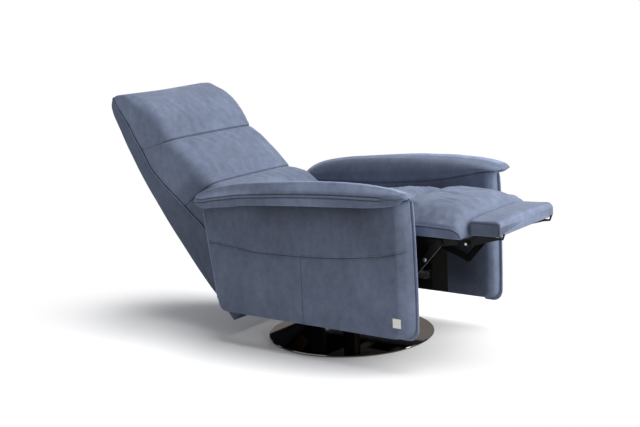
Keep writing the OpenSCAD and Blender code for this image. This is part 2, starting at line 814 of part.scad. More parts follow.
// Links that carry the leg rest, drawn where they lie with the legs out
module torsion_tube() {
    inner = lug_inner;
    color(black_steel) {
        bar_x(torsion_pivot, tube_d + 2, -x_lower, x_lower);
        sides() bar_x(torsion_pivot, pin_d, x_lower - 4, x_rail - side_gap);
        for (x = [leg_motor_x - inner - 6, leg_motor_x + inner]) plate(x, 6) strip(torsion_pivot, crank_pin, link_w + 2);
    }
}

module lower_links() {
    color(black_steel) sides() {
        plate(x_lower, steel_t) difference() {
            strip(torsion_pivot, elbow, link_w);
            dot(torsion_pivot, pin_d);
        }
        bar_x(elbow, pin_d, x_upper - 2, x_lower);
        bar_x(elbow, pin_d + 6, x_upper - 3.2, x_upper - 0.4);
    }
}

module upper_links() {
    color(black_steel) sides() {
        plate(x_upper, steel_t) difference() {
            strip(elbow, leg_pivot, link_w);
            dot(elbow, pin_d + run);
        }
        bar_x(leg_pivot, pin_d + 4, x_upper + steel_t - 2, x_upper + steel_t + 3);
    }
}

base_felt();
base_disc();
base_column();
column_screws();
column_bush();
bearing_lower();
swivel_spindle();
bearing_upper();
swivel_plate();
frame_rails();
mount_plates();
slide_rails();
arm_core();  // arm_core_left
mirror([1, 0, 0]) arm_core();  // arm_core_right
color(upholstery) arm_half(true);  // arm_outer_left
mirror([1, 0, 0]) color(upholstery) arm_half(true);  // arm_outer_right
color(upholstery) arm_half(false);  // arm_inner_left
mirror([1, 0, 0]) color(upholstery) arm_half(false);  // arm_inner_right
arm_pad();  // arm_pad_left
mirror([1, 0, 0]) arm_pad();  // arm_pad_right
arm_linings();
corner_plate();
control_panel();
rocker_back();
rocker_legs();
battery_pack();
seat_plate();  // seat_plate_left
mirror([1, 0, 0]) seat_plate();  // seat_plate_right
seat_rails();
seat_tubes();
motor_tubes();
slider_shoes();
seat_straps();
seat_cushion();
hinge_pins();
leg_actuator();
leg_actuator_rod();
recline_actuator();
recline_actuator_rod();
back_brackets();
back_uprights();
back_bars();
recline_lug();
back_panel();
back_side();  // back_side_left
mirror([1, 0, 0]) back_side();  // back_side_right
head_pad();
middle_pad();
lower_pad();
leg_board();
leg_pad();
leg_brackets();
foot_lugs();
foot_board();
foot_pad();
foot_brackets();
torsion_tube();
lower_links();
upper_links();
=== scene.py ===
from math import copysign, cos, exp, hypot, pi, radians, sin, sqrt
import bmesh
import bpy
from mathutils import Matrix, Vector, noise


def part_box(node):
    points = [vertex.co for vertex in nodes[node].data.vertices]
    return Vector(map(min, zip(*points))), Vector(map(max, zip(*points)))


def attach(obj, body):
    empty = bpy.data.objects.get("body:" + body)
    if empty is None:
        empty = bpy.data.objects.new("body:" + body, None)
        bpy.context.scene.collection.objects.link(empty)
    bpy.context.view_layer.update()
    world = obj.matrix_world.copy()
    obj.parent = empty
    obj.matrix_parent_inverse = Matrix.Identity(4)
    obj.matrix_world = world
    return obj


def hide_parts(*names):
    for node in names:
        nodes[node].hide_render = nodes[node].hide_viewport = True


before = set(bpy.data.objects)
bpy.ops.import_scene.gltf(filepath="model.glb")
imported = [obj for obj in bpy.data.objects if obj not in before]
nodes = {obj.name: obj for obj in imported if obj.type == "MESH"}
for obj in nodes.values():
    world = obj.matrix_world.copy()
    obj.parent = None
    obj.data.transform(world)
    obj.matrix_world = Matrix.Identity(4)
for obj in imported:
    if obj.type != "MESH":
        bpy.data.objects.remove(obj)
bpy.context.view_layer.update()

scene = bpy.context.scene
MM = 0.001


# Numbers and curves

def smooth(table, x):
    """Monotone cubic through a table of [x, value]; flat outside it."""
    last = len(table) - 1
    if x <= table[0][0]:
        return table[0][1]
    if x >= table[last][0]:
        return table[last][1]
    i = max(k for k in range(last) if table[k][0] <= x)
    h = [b[0] - a[0] for a, b in zip(table, table[1:])]
    d = [(b[1] - a[1]) / (b[0] - a[0]) for a, b in zip(table, table[1:])]

    def slope(k):
        if k in (0, last):
            return d[min(k, last - 1)]
        if d[k - 1] * d[k] <= 0:
            return 0.0
        a = 2 * h[k] + h[k - 1]
        b = h[k] + 2 * h[k - 1]
        return (a + b) / (a / d[k - 1] + b / d[k])

    t = (x - table[i][0]) / h[i]
    return ((2 * t ** 3 - 3 * t ** 2 + 1) * table[i][1] + (t ** 3 - 2 * t ** 2 + t) * h[i] * slope(i)
            + (3 * t ** 2 - 2 * t ** 3) * table[i + 1][1] + (t ** 3 - t ** 2) * h[i] * slope(i + 1))


def clamp(x, lo=0.0, hi=1.0):
    return max(lo, min(hi, x))


def bell(x, width):
    return exp(-(x / width) ** 2)


def ease(x):
    x = clamp(x)
    return x * x * (3 - 2 * x)


def round_in(d, r):
    """Inset of a round end of radius r at distance d from it."""
    return 0.0 if d >= r else r - sqrt(max(0.0, r * r - (r - d) ** 2))


def rough(x, y, z, size, seed=0.0):
    """Smooth noise of about -1 to 1, with features of this size in mm."""
    return noise.noise(Vector((x / size + seed, y / size + 2 * seed, z / size - seed)))


def catmull(points, per):
    """Points along a closed Catmull-Rom curve, per[i] of them from point i to the next."""
    out = []
    for i, count in enumerate(per):
        p = [points[(i + k - 1) % len(points)] for k in range(4)]
        for j in range(count):
            t = j / count
            out.append(tuple(
                0.5 * (2 * p[1][k] + (p[2][k] - p[0][k]) * t
                       + (2 * p[0][k] - 5 * p[1][k] + 4 * p[2][k] - p[3][k]) * t * t
                       + (3 * p[1][k] - p[0][k] - 3 * p[2][k] + p[3][k]) * t ** 3)
                for k in range(2)))
    return out


def along(points, n):
    """n + 1 points at equal lengths along a polyline."""
    pts = [Vector(p) for p in points]
    run = [0.0]
    for a, b in zip(pts, pts[1:]):
        run.append(run[-1] + (b - a).length)
    out = []
    k = 0
    for i in range(n + 1):
        want = run[-1] * i / n
        while k < len(pts) - 2 and run[k + 1] < want:
            k += 1
        span = run[k + 1] - run[k]
        f = 0 if span < 1e-9 else (want - run[k]) / span
        out.append(tuple(pts[k].lerp(pts[k + 1], f)))
    return out


def spaced(start, step, stop, ends, length):
    """Places along a length: start, then even steps up to stop, then ends counted back from its far end."""
    out = list(start)
    while out[-1] + step < stop:
        out.append(out[-1] + step)
    return out + [length - d for d in ends]


def outward(ring, k):
    """Unit normal of a closed outline at its point k."""
    a, b = ring[k - 1], ring[(k + 1) % len(ring)]
    size = hypot(b[0] - a[0], b[1] - a[1]) or 1
    return (a[1] - b[1]) / size, (b[0] - a[0]) / size


def arc_points(cy, cz, r, a0, a1, n):
    turns = [radians(a0 + (a1 - a0) * i / n) for i in range(n + 1)]
    return [(cy + r * cos(a), cz + r * sin(a)) for a in turns]


# Meshes

def add_object(name, data):
    obj = bpy.data.objects.new(name, data)
    scene.collection.objects.link(obj)
    return obj


def add_mesh(name, points, faces, material, hubs=()):
    """Mesh from points in mm; the faces that meet in a hub get a crisp outer rim."""
    mesh = bpy.data.meshes.new(name)
    mesh.from_pydata([[c * MM for c in p] for p in points], [], faces)
    bm = bmesh.new()
    bm.from_mesh(mesh)
    bmesh.ops.remove_doubles(bm, verts=bm.verts, dist=1e-6)
    bmesh.ops.recalc_face_normals(bm, faces=bm.faces)
    for v in bm.verts:
        if any((v.co - Vector(hub) * MM).length < 1e-7 for hub in hubs):
            for e in {e for face in v.link_faces for e in face.edges if v not in e.verts}:
                e.smooth = False
    bm.to_mesh(mesh)
    bm.free()
    for f in mesh.polygons:
        f.use_smooth = True
    mesh.materials.append(material)
    return add_object(name, mesh)


def tube(count, n):
    """Faces between count rings of n points, numbered ring by ring."""
    faces = []
    for i in range(count - 1):
        for j in range(n):
            a, b = i * n + j, i * n + (j + 1) % n
            faces.append((a, b, b + n, a + n))
    return faces


def skin(name, rings, material, hard_ends=False):
    """Tube through closed rings with a fan on each end; hard_ends keeps the fans' rims crisp."""
    n = len(rings[0])
    points = [p for r in rings for p in r]
    faces = tube(len(rings), n)
    for base, ring in ((0, rings[0]), ((len(rings) - 1) * n, rings[-1])):
        hub = len(points)
        points.append([sum(p[k] for p in ring) / n for k in range(3)])
        for j in range(n):
            a, b = base + j, base + (j + 1) % n
            faces.append((a, b, hub) if base else (b, a, hub))
    return add_mesh(name, points, faces, material, points[-2:] if hard_ends else ())


def shade(obj, depth):
    """Stores painted light and shade at each point of a skin, from -1 (painted highlight) to 1 (painted
    shade), as depth(x, y, z) says from a place in mm.
    """
    mesh = obj.data
    painted_light = mesh.attributes.new("painted_light", "FLOAT", "POINT")
    for i, v in enumerate(mesh.vertices):
        painted_light.data[i].value = clamp(depth(*(c / MM for c in v.co)), -1, 1)
    return obj


def pipe(name, points, radius, taper, sides=10):
    """Round leather cord along points, in mm; taper points at each end narrow it. Made in the lighter welt
    leather, a painted highlight.
    """
    pts = [Vector(p) for p in points]
    n = len(pts)
    rings = []
    ref = None
    for i, p in enumerate(pts):
        t = (pts[min(i + 1, n - 1)] - pts[max(i - 1, 0)]).normalized()
        if ref is None:
            ref = t.orthogonal().normalized()
        ref = (ref - t * ref.dot(t)).normalized()
        side = t.cross(ref)
        r = radius * clamp(min(i, n - 1 - i) / taper, 0.25, 1)
        turns = [2 * pi * k / sides for k in range(sides)]
        rings.append([tuple(p + (ref * cos(a) + side * sin(a)) * r) for a in turns])
    return skin(name, rings, welt)


# Materials

def empty_tree(owner, output):
    """Clears the node tree of a material or a world and gives it its output node."""
    owner.use_nodes = True
    tree = owner.node_tree
    tree.nodes.clear()
    return tree, tree.nodes.new("ShaderNode" + output)


def plug(tree, target, value):
    """Links a socket to an input, or sets the input to a value."""
    if isinstance(value, bpy.types.NodeSocket):
        tree.links.new(value, target)
    else:
        target.default_value = value


def set_node(tree, n, values):
    """Sets a node's inputs and settings by name."""
    for key, value in values.items():
        if key in n.inputs:
            plug(tree, n.inputs[key], value)
        else:
            setattr(n, key, value)
    return n


def node(tree, kind, **values):
    return set_node(tree, tree.nodes.new("ShaderNode" + kind), values)


def fed(tree, kind, *sockets, **values):
    """First output of a new node, whose first inputs are linked to these sockets."""
    n = node(tree, kind, **values)
    for i, socket in enumerate(sockets):
        tree.links.new(socket, n.inputs[i])
    return n.outputs[0]


def new_material(name):
    """A material, its tree, its shader and the object's own coordinates."""
    m = bpy.data.materials.new(name)
    tree, out = empty_tree(m, "OutputMaterial")
    shader = node(tree, "BsdfPrincipled")
    tree.links.new(shader.outputs["BSDF"], out.inputs["Surface"])
    return m, tree, shader, node(tree, "TexCoord").outputs["Object"]


def times(colour, f):
    return [min(1, c * f) for c in colour]


def noise_node(vector, scale, detail, roughness, stretch=None):
    tree = vector.id_data
    if stretch:
        vector = node(tree, "Mapping", Vector=vector, Scale=stretch).outputs["Vector"]
    n = node(tree, "TexNoise", Vector=vector, Scale=scale, Detail=detail, Roughness=roughness)
    return n.outputs["Fac"]


def ramp(fac, stops):
    r = node(fac.id_data, "ValToRGB", Fac=fac)
    e = r.color_ramp.elements
    e[0].position, e[0].color = stops[0][0], (*stops[0][1], 1)
    e[1].position, e[1].color = stops[-1][0], (*stops[-1][1], 1)
    for p, c in stops[1:-1]:
        e.new(p).color = (*c, 1)
    return r.outputs["Color"]


def mix(tree, kind, fac, a, b):
    n = node(tree, "Mix", data_type="RGBA", blend_type=kind)
    for i, value in ((0, fac), (6, a), (7, b)):
        plug(tree, n.inputs[i], value)
    return n.outputs[2]


def bump(height, strength, distance, normal=None):
    n = node(height.id_data, "Bump", Height=height, Strength=strength, Distance=distance)
    if normal:
        plug(n.id_data, n.inputs["Normal"], normal)
    return n.outputs["Normal"]


def level(value, low, high, start=0.3, end=0.7):
    """Spreads start..end of a value over low..high."""
    return fed(value.id_data, "MapRange", value,
               **{"From Min": start, "From Max": end, "To Min": low, "To Max": high})


def nubuck(name, colour, wear=1.0):
    """Napped leather: cloudy colour, fine grain, soft creases and a little sheen."""
    m, tree, shader, co = new_material(name)
    cloud = noise_node(co, 5.5, 5, 0.6)
    streak = noise_node(co, 7, 6, 0.65, (1.6, 1.6, 0.45))
    fine = noise_node(co, 140, 3, 0.6)
    grain = noise_node(co, 900, 2, 0.5)
    scuff = noise_node(co, 38, 6, 0.7, (1, 1, 0.8))
    crease = noise_node(co, 22, 5, 0.62)
    light = [min(1, c * (1 + 0.20 * wear) + 0.004) for c in colour]
    base = ramp(cloud, [(0.30, times(colour, 1 - 0.17 * wear)), (0.5, colour), (0.72, light)])
    # The skins' stored painted light and shade scales the colour: above 0 it darkens (painted shade), below 0
    # it lightens (painted highlight).
    painted_light = node(tree, "Attribute", attribute_name="painted_light").outputs["Fac"]
    for strength, layer in (
            (0.75, ramp(streak, [(0.25, (0.86, 0.87, 0.90)), (0.55, (1, 1, 1)), (0.8, (1.07, 1.06, 1.04))])),
            (min(1, 0.85 * wear),
             ramp(scuff, [(0.3, (0.78, 0.80, 0.83)), (0.52, (1, 1, 1)), (0.72, (1.18, 1.16, 1.13))])),
            (0.8, ramp(fine, [(0.3, (0.93, 0.93, 0.94)), (0.6, (1.03, 1.03, 1.02))])),
            (1.0, level(painted_light, 1.9, 0.1, -1.0, 1.0))):
        base = mix(tree, "MULTIPLY", strength, base, layer)
    n = bump(crease, 0.20 * wear, 0.004)
    n = bump(fine, 0.16, 0.0010, n)
    n = bump(grain, 0.12, 0.0003, n)
    set_node(tree, shader, {
        "Base Color": base, "Roughness": level(streak, 0.66, 0.82), "Specular IOR Level": 0.32, "Normal": n,
        "Sheen Weight": 0.22, "Sheen Roughness": 0.45, "Sheen Tint": (0.72, 0.80, 1.0, 1)})
    return m


def metal(name, colour, rough_lo, rough_hi, metallic, scale, depth, wear, tint=1.0, shine=0.5):
    m, tree, shader, co = new_material(name)
    cloud = noise_node(co, 9, 5, 0.6)
    fine = noise_node(co, scale, 4, 0.6)
    set_node(tree, shader, {
        "Base Color": ramp(cloud, [(0.3, times(colour, 1 - wear)), (0.7, times(colour, 1 + wear))]),
        "Roughness": level(fine, rough_lo, rough_hi), "Metallic": metallic,
        "Specular Tint": (tint, tint * 0.97, tint * 0.93, 1), "Specular IOR Level": shine})
    if depth:
        tree.links.new(bump(fine, 0.25, depth), shader.inputs["Normal"])
    return m


def cloth(name, colour, thread, depth):
    """Woven or felted sheet with crossing threads."""
    m, tree, shader, co = new_material(name)
    cloud = noise_node(co, 12, 5, 0.6)
    warp = noise_node(co, 1, 2, 0.5, (thread, thread, 60))
    weft = noise_node(co, 1, 2, 0.5, (60, thread, thread))
    set_node(tree, shader, {
        "Base Color": ramp(cloud, [(0.3, times(colour, 0.75)), (0.7, times(colour, 1.25))]),
        "Roughness": 0.92, "Sheen Weight": 0.15,
        "Normal": bump(mix(tree, "ADD", 0.5, warp, weft), 0.5, depth)})
    return m


def wood(name, colour):
    m, tree, shader, co = new_material(name)
    grain = noise_node(co, 14, 8, 0.7, (0.5, 9, 1.2))
    pores = noise_node(co, 120, 4, 0.6, (0.3, 5, 1))
    base = ramp(grain, [(0.25, times(colour, 0.62)), (0.5, colour), (0.8, times(colour, 1.25))])
    set_node(tree, shader, {"Base Color": base, "Roughness": level(pores, 0.5, 0.75),
                            "Normal": bump(pores, 0.4, 0.0006)})
    return m


BLUE = (0.192, 0.232, 0.335)
leather = nubuck("nubuck", BLUE)
# A slightly darker copy of the leather for the back's side and rear panels: painted shade.
leather_shaded = nubuck("nubuck_shaded", times(BLUE, 0.94), 0.8)
# A lighter copy of the leather for cords, welts and the nose band: a painted highlight.
welt = nubuck("nubuck_welt_highlight", times(BLUE, 1.10), 0.5)
# Near-black leather for the strip in the arm slot: painted shadow.
painted_slot_shadow = nubuck("seam_shadow", (0.016, 0.020, 0.034), 0.4)
chrome = metal("dark_chrome", (0.17, 0.158, 0.152), 0.035, 0.07, 1.0, 35, 0.0, 0.04, 0.46)
steel = metal("black_steel", (0.0055, 0.0055, 0.006), 0.34, 0.55, 0.0, 160, 0.0005, 0.18, 1.0, 0.20)
zinc = metal("zinc", (0.60, 0.60, 0.62), 0.22, 0.42, 1.0, 90, 0.0003, 0.15)
satin = metal("satin_plate", (0.47, 0.46, 0.43), 0.30, 0.42, 1.0, 400, 0.0002, 0.05)
ply = wood("plywood", (0.46, 0.30, 0.16))
lining_mat = cloth("lining", (0.013, 0.011, 0.009), 900, 0.0008)
web_mat = cloth("webbing", (0.030, 0.030, 0.032), 500, 0.0014)
felt_mat = cloth("felt", (0.020, 0.020, 0.021), 1700, 0.0010)
black_plastic = metal("black_plastic", (0.018, 0.018, 0.020), 0.42, 0.58, 0.0, 420, 0.0004, 0.10)
grey_plastic = metal("grey_plastic", (0.22, 0.23, 0.24), 0.38, 0.52, 0.0, 420, 0.0003, 0.08)
white_plastic = metal("white_plastic", (0.66, 0.66, 0.62), 0.40, 0.55, 0.0, 420, 0.0003, 0.06)


covered = set()


def piece(obj, body, *cad, fill=None, slot="upholstery"):
    """Gives a piece its body and hides the solids it stands for; its slot and fill are not used."""
    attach(obj, body)
    if cad:
        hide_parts(*cad)
        covered.update(cad)


# Arms, worked out for the sitter's left and mirrored for the other side

XI, XM, XO, BRIM = 250.0, 292.5, 335.0, 23.0
ARM_DEEP, SLOT_HALF = 41.0, 2.5
Y_PAD, Y_FRONT, Y_BACK, Y_END, CLEAR = -475.0, -461.0, 385.0, 419.0, 120.0
PLATE_Y, PLATE_Z, PLATE_HALF = -420, 178, 19
UPRIGHT_SEAM_Y, PIPED_FROM, TICK_Y = -44.0, -396, 82
INNER_TOP = [[-475, 584], [-418, 578], [-358, 564], [-275, 545], [-191, 531], [-61, 517], [28, 510],
             [166, 504], [385, 496], [405, 503], [419, 515]]
BRIM_LOW = [[-475, 584], [-463, 580], [-448, 568], [-403, 556], [-332, 548], [-250, 543], [-150, 538],
            [12, 529], [100, 523], [192, 516], [261, 506], [320, 499], [370, 494], [390, 498], [405, 504],
            [419, 513]]
CREST_OUT = [[-475, 588], [-463, 600], [-440, 607], [-402, 614], [-346, 619], [-250, 622], [-130, 619],
             [0, 610], [110, 600], [194, 592], [251, 584], [315, 572], [360, 559], [400, 541], [412, 532],
             [419, 524]]
CREST_IN = [[-475, 586], [-440, 595], [-412, 599], [-353, 606], [-281, 608], [-167, 608], [-85, 606],
            [11, 602], [73, 598], [136, 593], [200, 586], [265, 576], [308, 566], [347, 549], [375, 532],
            [400, 522], [419, 516]]
ARM_SEAM = [[-490, 420], [-478, 417], [-364, 391], [-247, 374], [-125, 363], [0, 357], [132, 354],
            [267, 366], [374, 370], [390, 370]]
NOSE_LINE = [[120, -461], [250, -462.5], [330, -462], [420, -461], [500, -459], [560, -455.5], [590, -454]]
NOSE_TILT = [[110, 7], [250, 7.5], [330, 6], [500, 3], [590, 2]]
ROWS_BELOW, ROWS_ABOVE, COLS, RIM_STEPS, CORNER_STEPS = 22, 18, 84, 14, 12
SEAM_STEPS = [2.0, 4.5, 6.2, 8.0, 13.0]
SEAM_ROW = ROWS_BELOW + len(SEAM_STEPS)
TOP_ROW = SEAM_ROW + len(SEAM_STEPS) + ROWS_ABOVE


def tilt(x, z):
    """Shift of the arm's middle toward the seat, which grows downward and leaves both faces in place."""
    return smooth(NOSE_TILT, z) * max(0.0, 1 - abs(x - XM) / 44)


def inner_seat(y):
    return min(smooth(INNER_TOP, y), smooth(CREST_IN, y) - 4)


def outer_seat(y):
    z = smooth(BRIM_LOW, y)
    return z + min(8, (smooth(CREST_OUT, y) - z) / 3)


def heights(z0, zs, z1):
    """Rows from z0 up to z1, gathered round the seam at zs."""
    low = [zs - s for s in reversed(SEAM_STEPS)]
    high = [zs + s for s in SEAM_STEPS]
    below = [z0 + (low[0] - z0) * i / ROWS_BELOW for i in range(ROWS_BELOW)]
    above = [high[-1] + (z1 - high[-1]) * i / ROWS_ABOVE for i in range(1, ROWS_ABOVE + 1)]
    return below + low + [zs] + high + above


def arm_sides(outer, front_in, edge_in):
    """Outline of an arm panel as [y, z]: bottom, front, top and rear, each from low y or z up."""
    z0 = CLEAR + edge_in
    yf = Y_FRONT + front_in
    yr = Y_BACK - edge_in * 0.3
    r = max(8.0, 34.0 - edge_in)
    yn = smooth(NOSE_LINE, 585) + front_in
    seat = outer_seat if outer else inner_seat

    def panel_top(y):
        return seat(y) - 0.3 - edge_in * 0.1

    def at_height(line, z):
        for a, b in zip(line, line[1:]):
            if a[1] <= z <= b[1] and b[1] > a[1]:
                return a[0] + (b[0] - a[0]) * (z - a[1]) / (b[1] - a[1])
        return line[-1][0]

    def upright(line, y_seam, z_top):
        return [(at_height(line, z), z) for z in heights(line[0][1], smooth(ARM_SEAM, y_seam), z_top)]

    half = CORNER_STEPS // 2
    corner_f = arc_points(yf + r, z0 + r, r, 180, 270, CORNER_STEPS)
    corner_r = arc_points(yr - 49 - r, z0 + r, r, 270, 353, CORNER_STEPS)
    top_f = panel_top(yn) - 3
    top_r = panel_top(yr) - 3
    front_line = corner_f[half::-1]
    for k in range(1, 13):
        z = z0 + r + (top_f - z0 - r) * k / 12
        front_line.append((smooth(NOSE_LINE, z) + front_in, z))
    front = upright(front_line, yf + 8, top_f)
    rear = upright(corner_r[half:] + [(yr, top_r)], yr - 20, top_r)
    top = []
    for i in range(COLS + 1):
        y = yn + (yr - yn) * i / COLS
        top.append((y, panel_top(y) - 3 * (1 - ease(min(y - yn, yr - y) / 22))))
    return along(corner_f[half:] + corner_r[:half + 1], COLS), front, top, rear


def face_grid(sides):
    """Points of an arm's face, by rows of [y, z], from its four sides."""
    bottom, front, top, rear = sides

    def rise(line, p):
        return (p[1] - line[0][1]) / (line[-1][1] - line[0][1])

    grid = []
    for a, b in zip(front, rear):
        row = []
        for i in range(COLS + 1):
            u = i / COLS
            v = rise(front, a) * (1 - u) + rise(rear, b) * u
            row.append([
                (1 - u) * a[k] + u * b[k]
                + (1 - v) * (bottom[i][k] - (1 - u) * bottom[0][k] - u * bottom[-1][k])
                + v * (top[i][k] - (1 - u) * top[0][k] - u * top[-1][k]) for k in range(2)])
        grid.append(row)
    for i in range(1, COLS):
        y, z = grid[SEAM_ROW][i]
        shift = (smooth(ARM_SEAM, y) - z) * min(1.0, min(i, COLS - i) / 6)
        z_lo, z_hi = grid[0][i][1], grid[-1][i][1]
        for j in range(1, TOP_ROW):
            zz = grid[j][i][1]
            grid[j][i][1] += shift * ((zz - z_lo) / (z - z_lo) if j <= SEAM_ROW else (z_hi - zz) / (z_hi - z))
    middle = min(range(COLS + 1), key=lambda i: abs(grid[SEAM_ROW][i][0] - UPRIGHT_SEAM_Y))
    for row in grid:
        shift = UPRIGHT_SEAM_Y - row[middle][0]
        for i in range(COLS + 1):
            row[i][0] += shift * max(0, 1 - abs(i - middle) / 30)
        for offset, gap in ((0, 0), (1, 2.2), (2, 5.5)):
            row[middle - offset][0] = UPRIGHT_SEAM_Y - gap
            row[middle + offset][0] = UPRIGHT_SEAM_Y + gap
    return grid


def seam_cut(y, z, outer):
    """Depth of the sewn lines of an arm face, in mm."""
    d = z - smooth(ARM_SEAM, y)
    cut = 2.6 * bell(d, 1.7) + 1.1 * bell(abs(d) - 6.2, 1.2) - 0.8 * bell(abs(d) - 3.6, 1.5)
    if outer and d < 4:
        e = y - UPRIGHT_SEAM_Y
        cut += (1.6 * bell(e, 2.0) - 0.5 * bell(abs(e) - 4.5, 2.0)) * ease((4 - d) / 8)
    return cut


def arm_half(outer, side, name):
    """Half of an arm: its rim, from the slot outward, and its sewn face."""
    sign = 1 if outer else -1
    share = 0.6 if outer else 0.35
    rings = []
    for k in range(RIM_STEPS + 1):
        a = pi / 2 * k / RIM_STEPS
        f = sin(a)
        x = XM + sign * (SLOT_HALF + (ARM_DEEP - 1) * f)
        dip = 40 * (share * f + (1 - share) * (1 - cos(a)))
        sides = arm_sides(outer, dip, 7 * (k / RIM_STEPS) ** 3)
        bottom, front, top, rear = sides
        ring = bottom[:-1] + rear[:-1] + top[:0:-1] + front[:0:-1]
        rings.append([(x, p[0], p[1]) for p in ring])
    count = len(rings[0])
    points = [p for r in rings for p in r]
    faces = tube(len(rings), count)
    base = RIM_STEPS * count
    rim = ([(0, i) for i in range(COLS)] + [(j, COLS) for j in range(TOP_ROW)]
           + [(TOP_ROW, i) for i in range(COLS, 0, -1)] + [(j, 0) for j in range(TOP_ROW, 0, -1)])
    at = {place: base + k for k, place in enumerate(rim)}
    grid = face_grid(sides)
    x_face = (XO if outer else XI) + 0.5 * sign
    for j in range(1, TOP_ROW):
        for i in range(1, COLS):
            at[j, i] = len(points)
            points.append((x_face, *grid[j][i]))
    for j in range(TOP_ROW):
        for i in range(COLS):
            faces.append((at[j, i], at[j, i + 1], at[j + 1, i + 1], at[j + 1, i]))
    hub = len(points)
    faces += [(j, hub, (j + 1) % count) for j in range(count)]
    shaped = []
    for x, y, z in points:
        out = sign * (x - XM) / ARM_DEEP
        inside = ease((y - Y_FRONT) / 110) * ease((Y_BACK - y) / 60)
        puff = 2.2 * inside * ease((z - CLEAR) / 60) * ease((outer_seat(y) - z) / 40) if out > 0.97 else 0
        soft = 0.8 * rough(x, y, z, 90, 3.1 if outer else 8.4) + 0.35 * rough(x, y, z, 34, 5.7)
        puff = (puff if outer else puff * 0.3) + soft * ease((out - 0.4) / 0.5)
        if outer and out > 0.9:
            near_plate = hypot(*(max(0, abs(d) - PLATE_HALF) for d in (y - PLATE_Y, z - PLATE_Z)))
            puff = -0.5 + (puff + 0.5) * ease(near_plate / 26)
        x += sign * (puff - seam_cut(y, z, outer) * ease((out - 0.1) / 0.5))
        shaped.append((side * (x - tilt(x, z)), y, z))
    shaped.append((side * (XM + sign * SLOT_HALF), 0, 330))
    obj = add_mesh(name, shaped, faces, leather)

    # Painted light and shade: darker seam lines, painted shade in the grooves; on the outer half a painted
    # shadow under the brim and painted shade at the nose; on the inner half painted shade overall, low down
    # and next to the seat, and a painted highlight at its nose.
    def painted_shading(x, y, z):
        out = sign * (abs(x) - XM) / ARM_DEEP
        d = z - smooth(ARM_SEAM, y)
        line = 0.85 * bell(d, 1.5) + 0.42 * bell(abs(d) - 6.2, 1.2)
        if outer and d < 0:
            line = max(line, 0.6 * bell(y - UPRIGHT_SEAM_Y, 1.6))
        line *= ease((out - 0.25) / 0.3)
        if outer:
            under = 0.84 * exp(-max(0, outer_seat(y) - z) / 105) * (0.3 + 0.7 * ease((y + 440) / 150))
            under = under * ease((out - 0.7) / 0.3) * (1 - 0.4 * ease((y - 60) / 150))
            return max(line, under + 0.16 * (1 - ease((y + 470) / 90)) * ease((out - 0.3) / 0.3))
        under = 0.22 + 0.5 * ease((y + 425) / 90) * ease((450 - z) / 90) * ease((z - 130) / 90)
        under += 0.25 * ease((z - 465) / 30) * ease((y + 380) / 140)
        return max(line, under * ease((y + 450) / 50)) - 0.55 * (1 - ease((y + 452) / 12))

    return shade(obj, painted_shading)


def pad_points(y):
    """Outline of the arm pad at y as [x, z], from the inner edge over the top and under the brim."""
    zb, zi, zc = smooth(BRIM_LOW, y), smooth(CREST_IN, y), smooth(CREST_OUT, y)
    lo, hang = inner_seat(y), outer_seat(y)
    h = zi - lo
    g = zc - zb
    xc, d, r = (XO - 4, y - Y_PAD, 38) if y < 0 else (XO, Y_END - y, 60)
    flare = ease((y - 240) / 130)
    width = 1.0 if d >= r else max(0.14, sqrt(max(0.0, 1 - (1 - d / r) ** 2)))
    raw = [(XI + 1, lo), (XI - 1, lo + 0.30 * h), (XI + 2, lo + 0.58 * h), (XI + 12, lo + 0.84 * h),
           (XM - 14, zi), (XM + 4, (zi + zc) / 2 - 0.02 * g), (XO - 7 + 10 * flare, zc),
           (XO + 4 + 6 * flare, zc - 0.14 * g),
           (XO + BRIM * 0.62, zc - 0.36 * g), (XO + BRIM * 0.93, zc - 0.56 * g), (XO + BRIM, zb + 0.2 * g),
           (XO + BRIM * 0.90, zb + 0.03 * g), (XO + BRIM * 0.5, zb + 0.03 * g), (XO + 0.3, hang - 1.5),
           (XO + 0.3, hang), (XM, hang), (XM - 1.2, lo)]
    return [(xc + (p[0] - xc) * width, p[1]) for p in raw]


PAD_SPANS = [4, 5, 5, 6, 6, 7, 7, 7, 8, 8, 7, 4, 3, 1, 4, 2, 4]
PIPING_AT = sum(PAD_SPANS[:9])


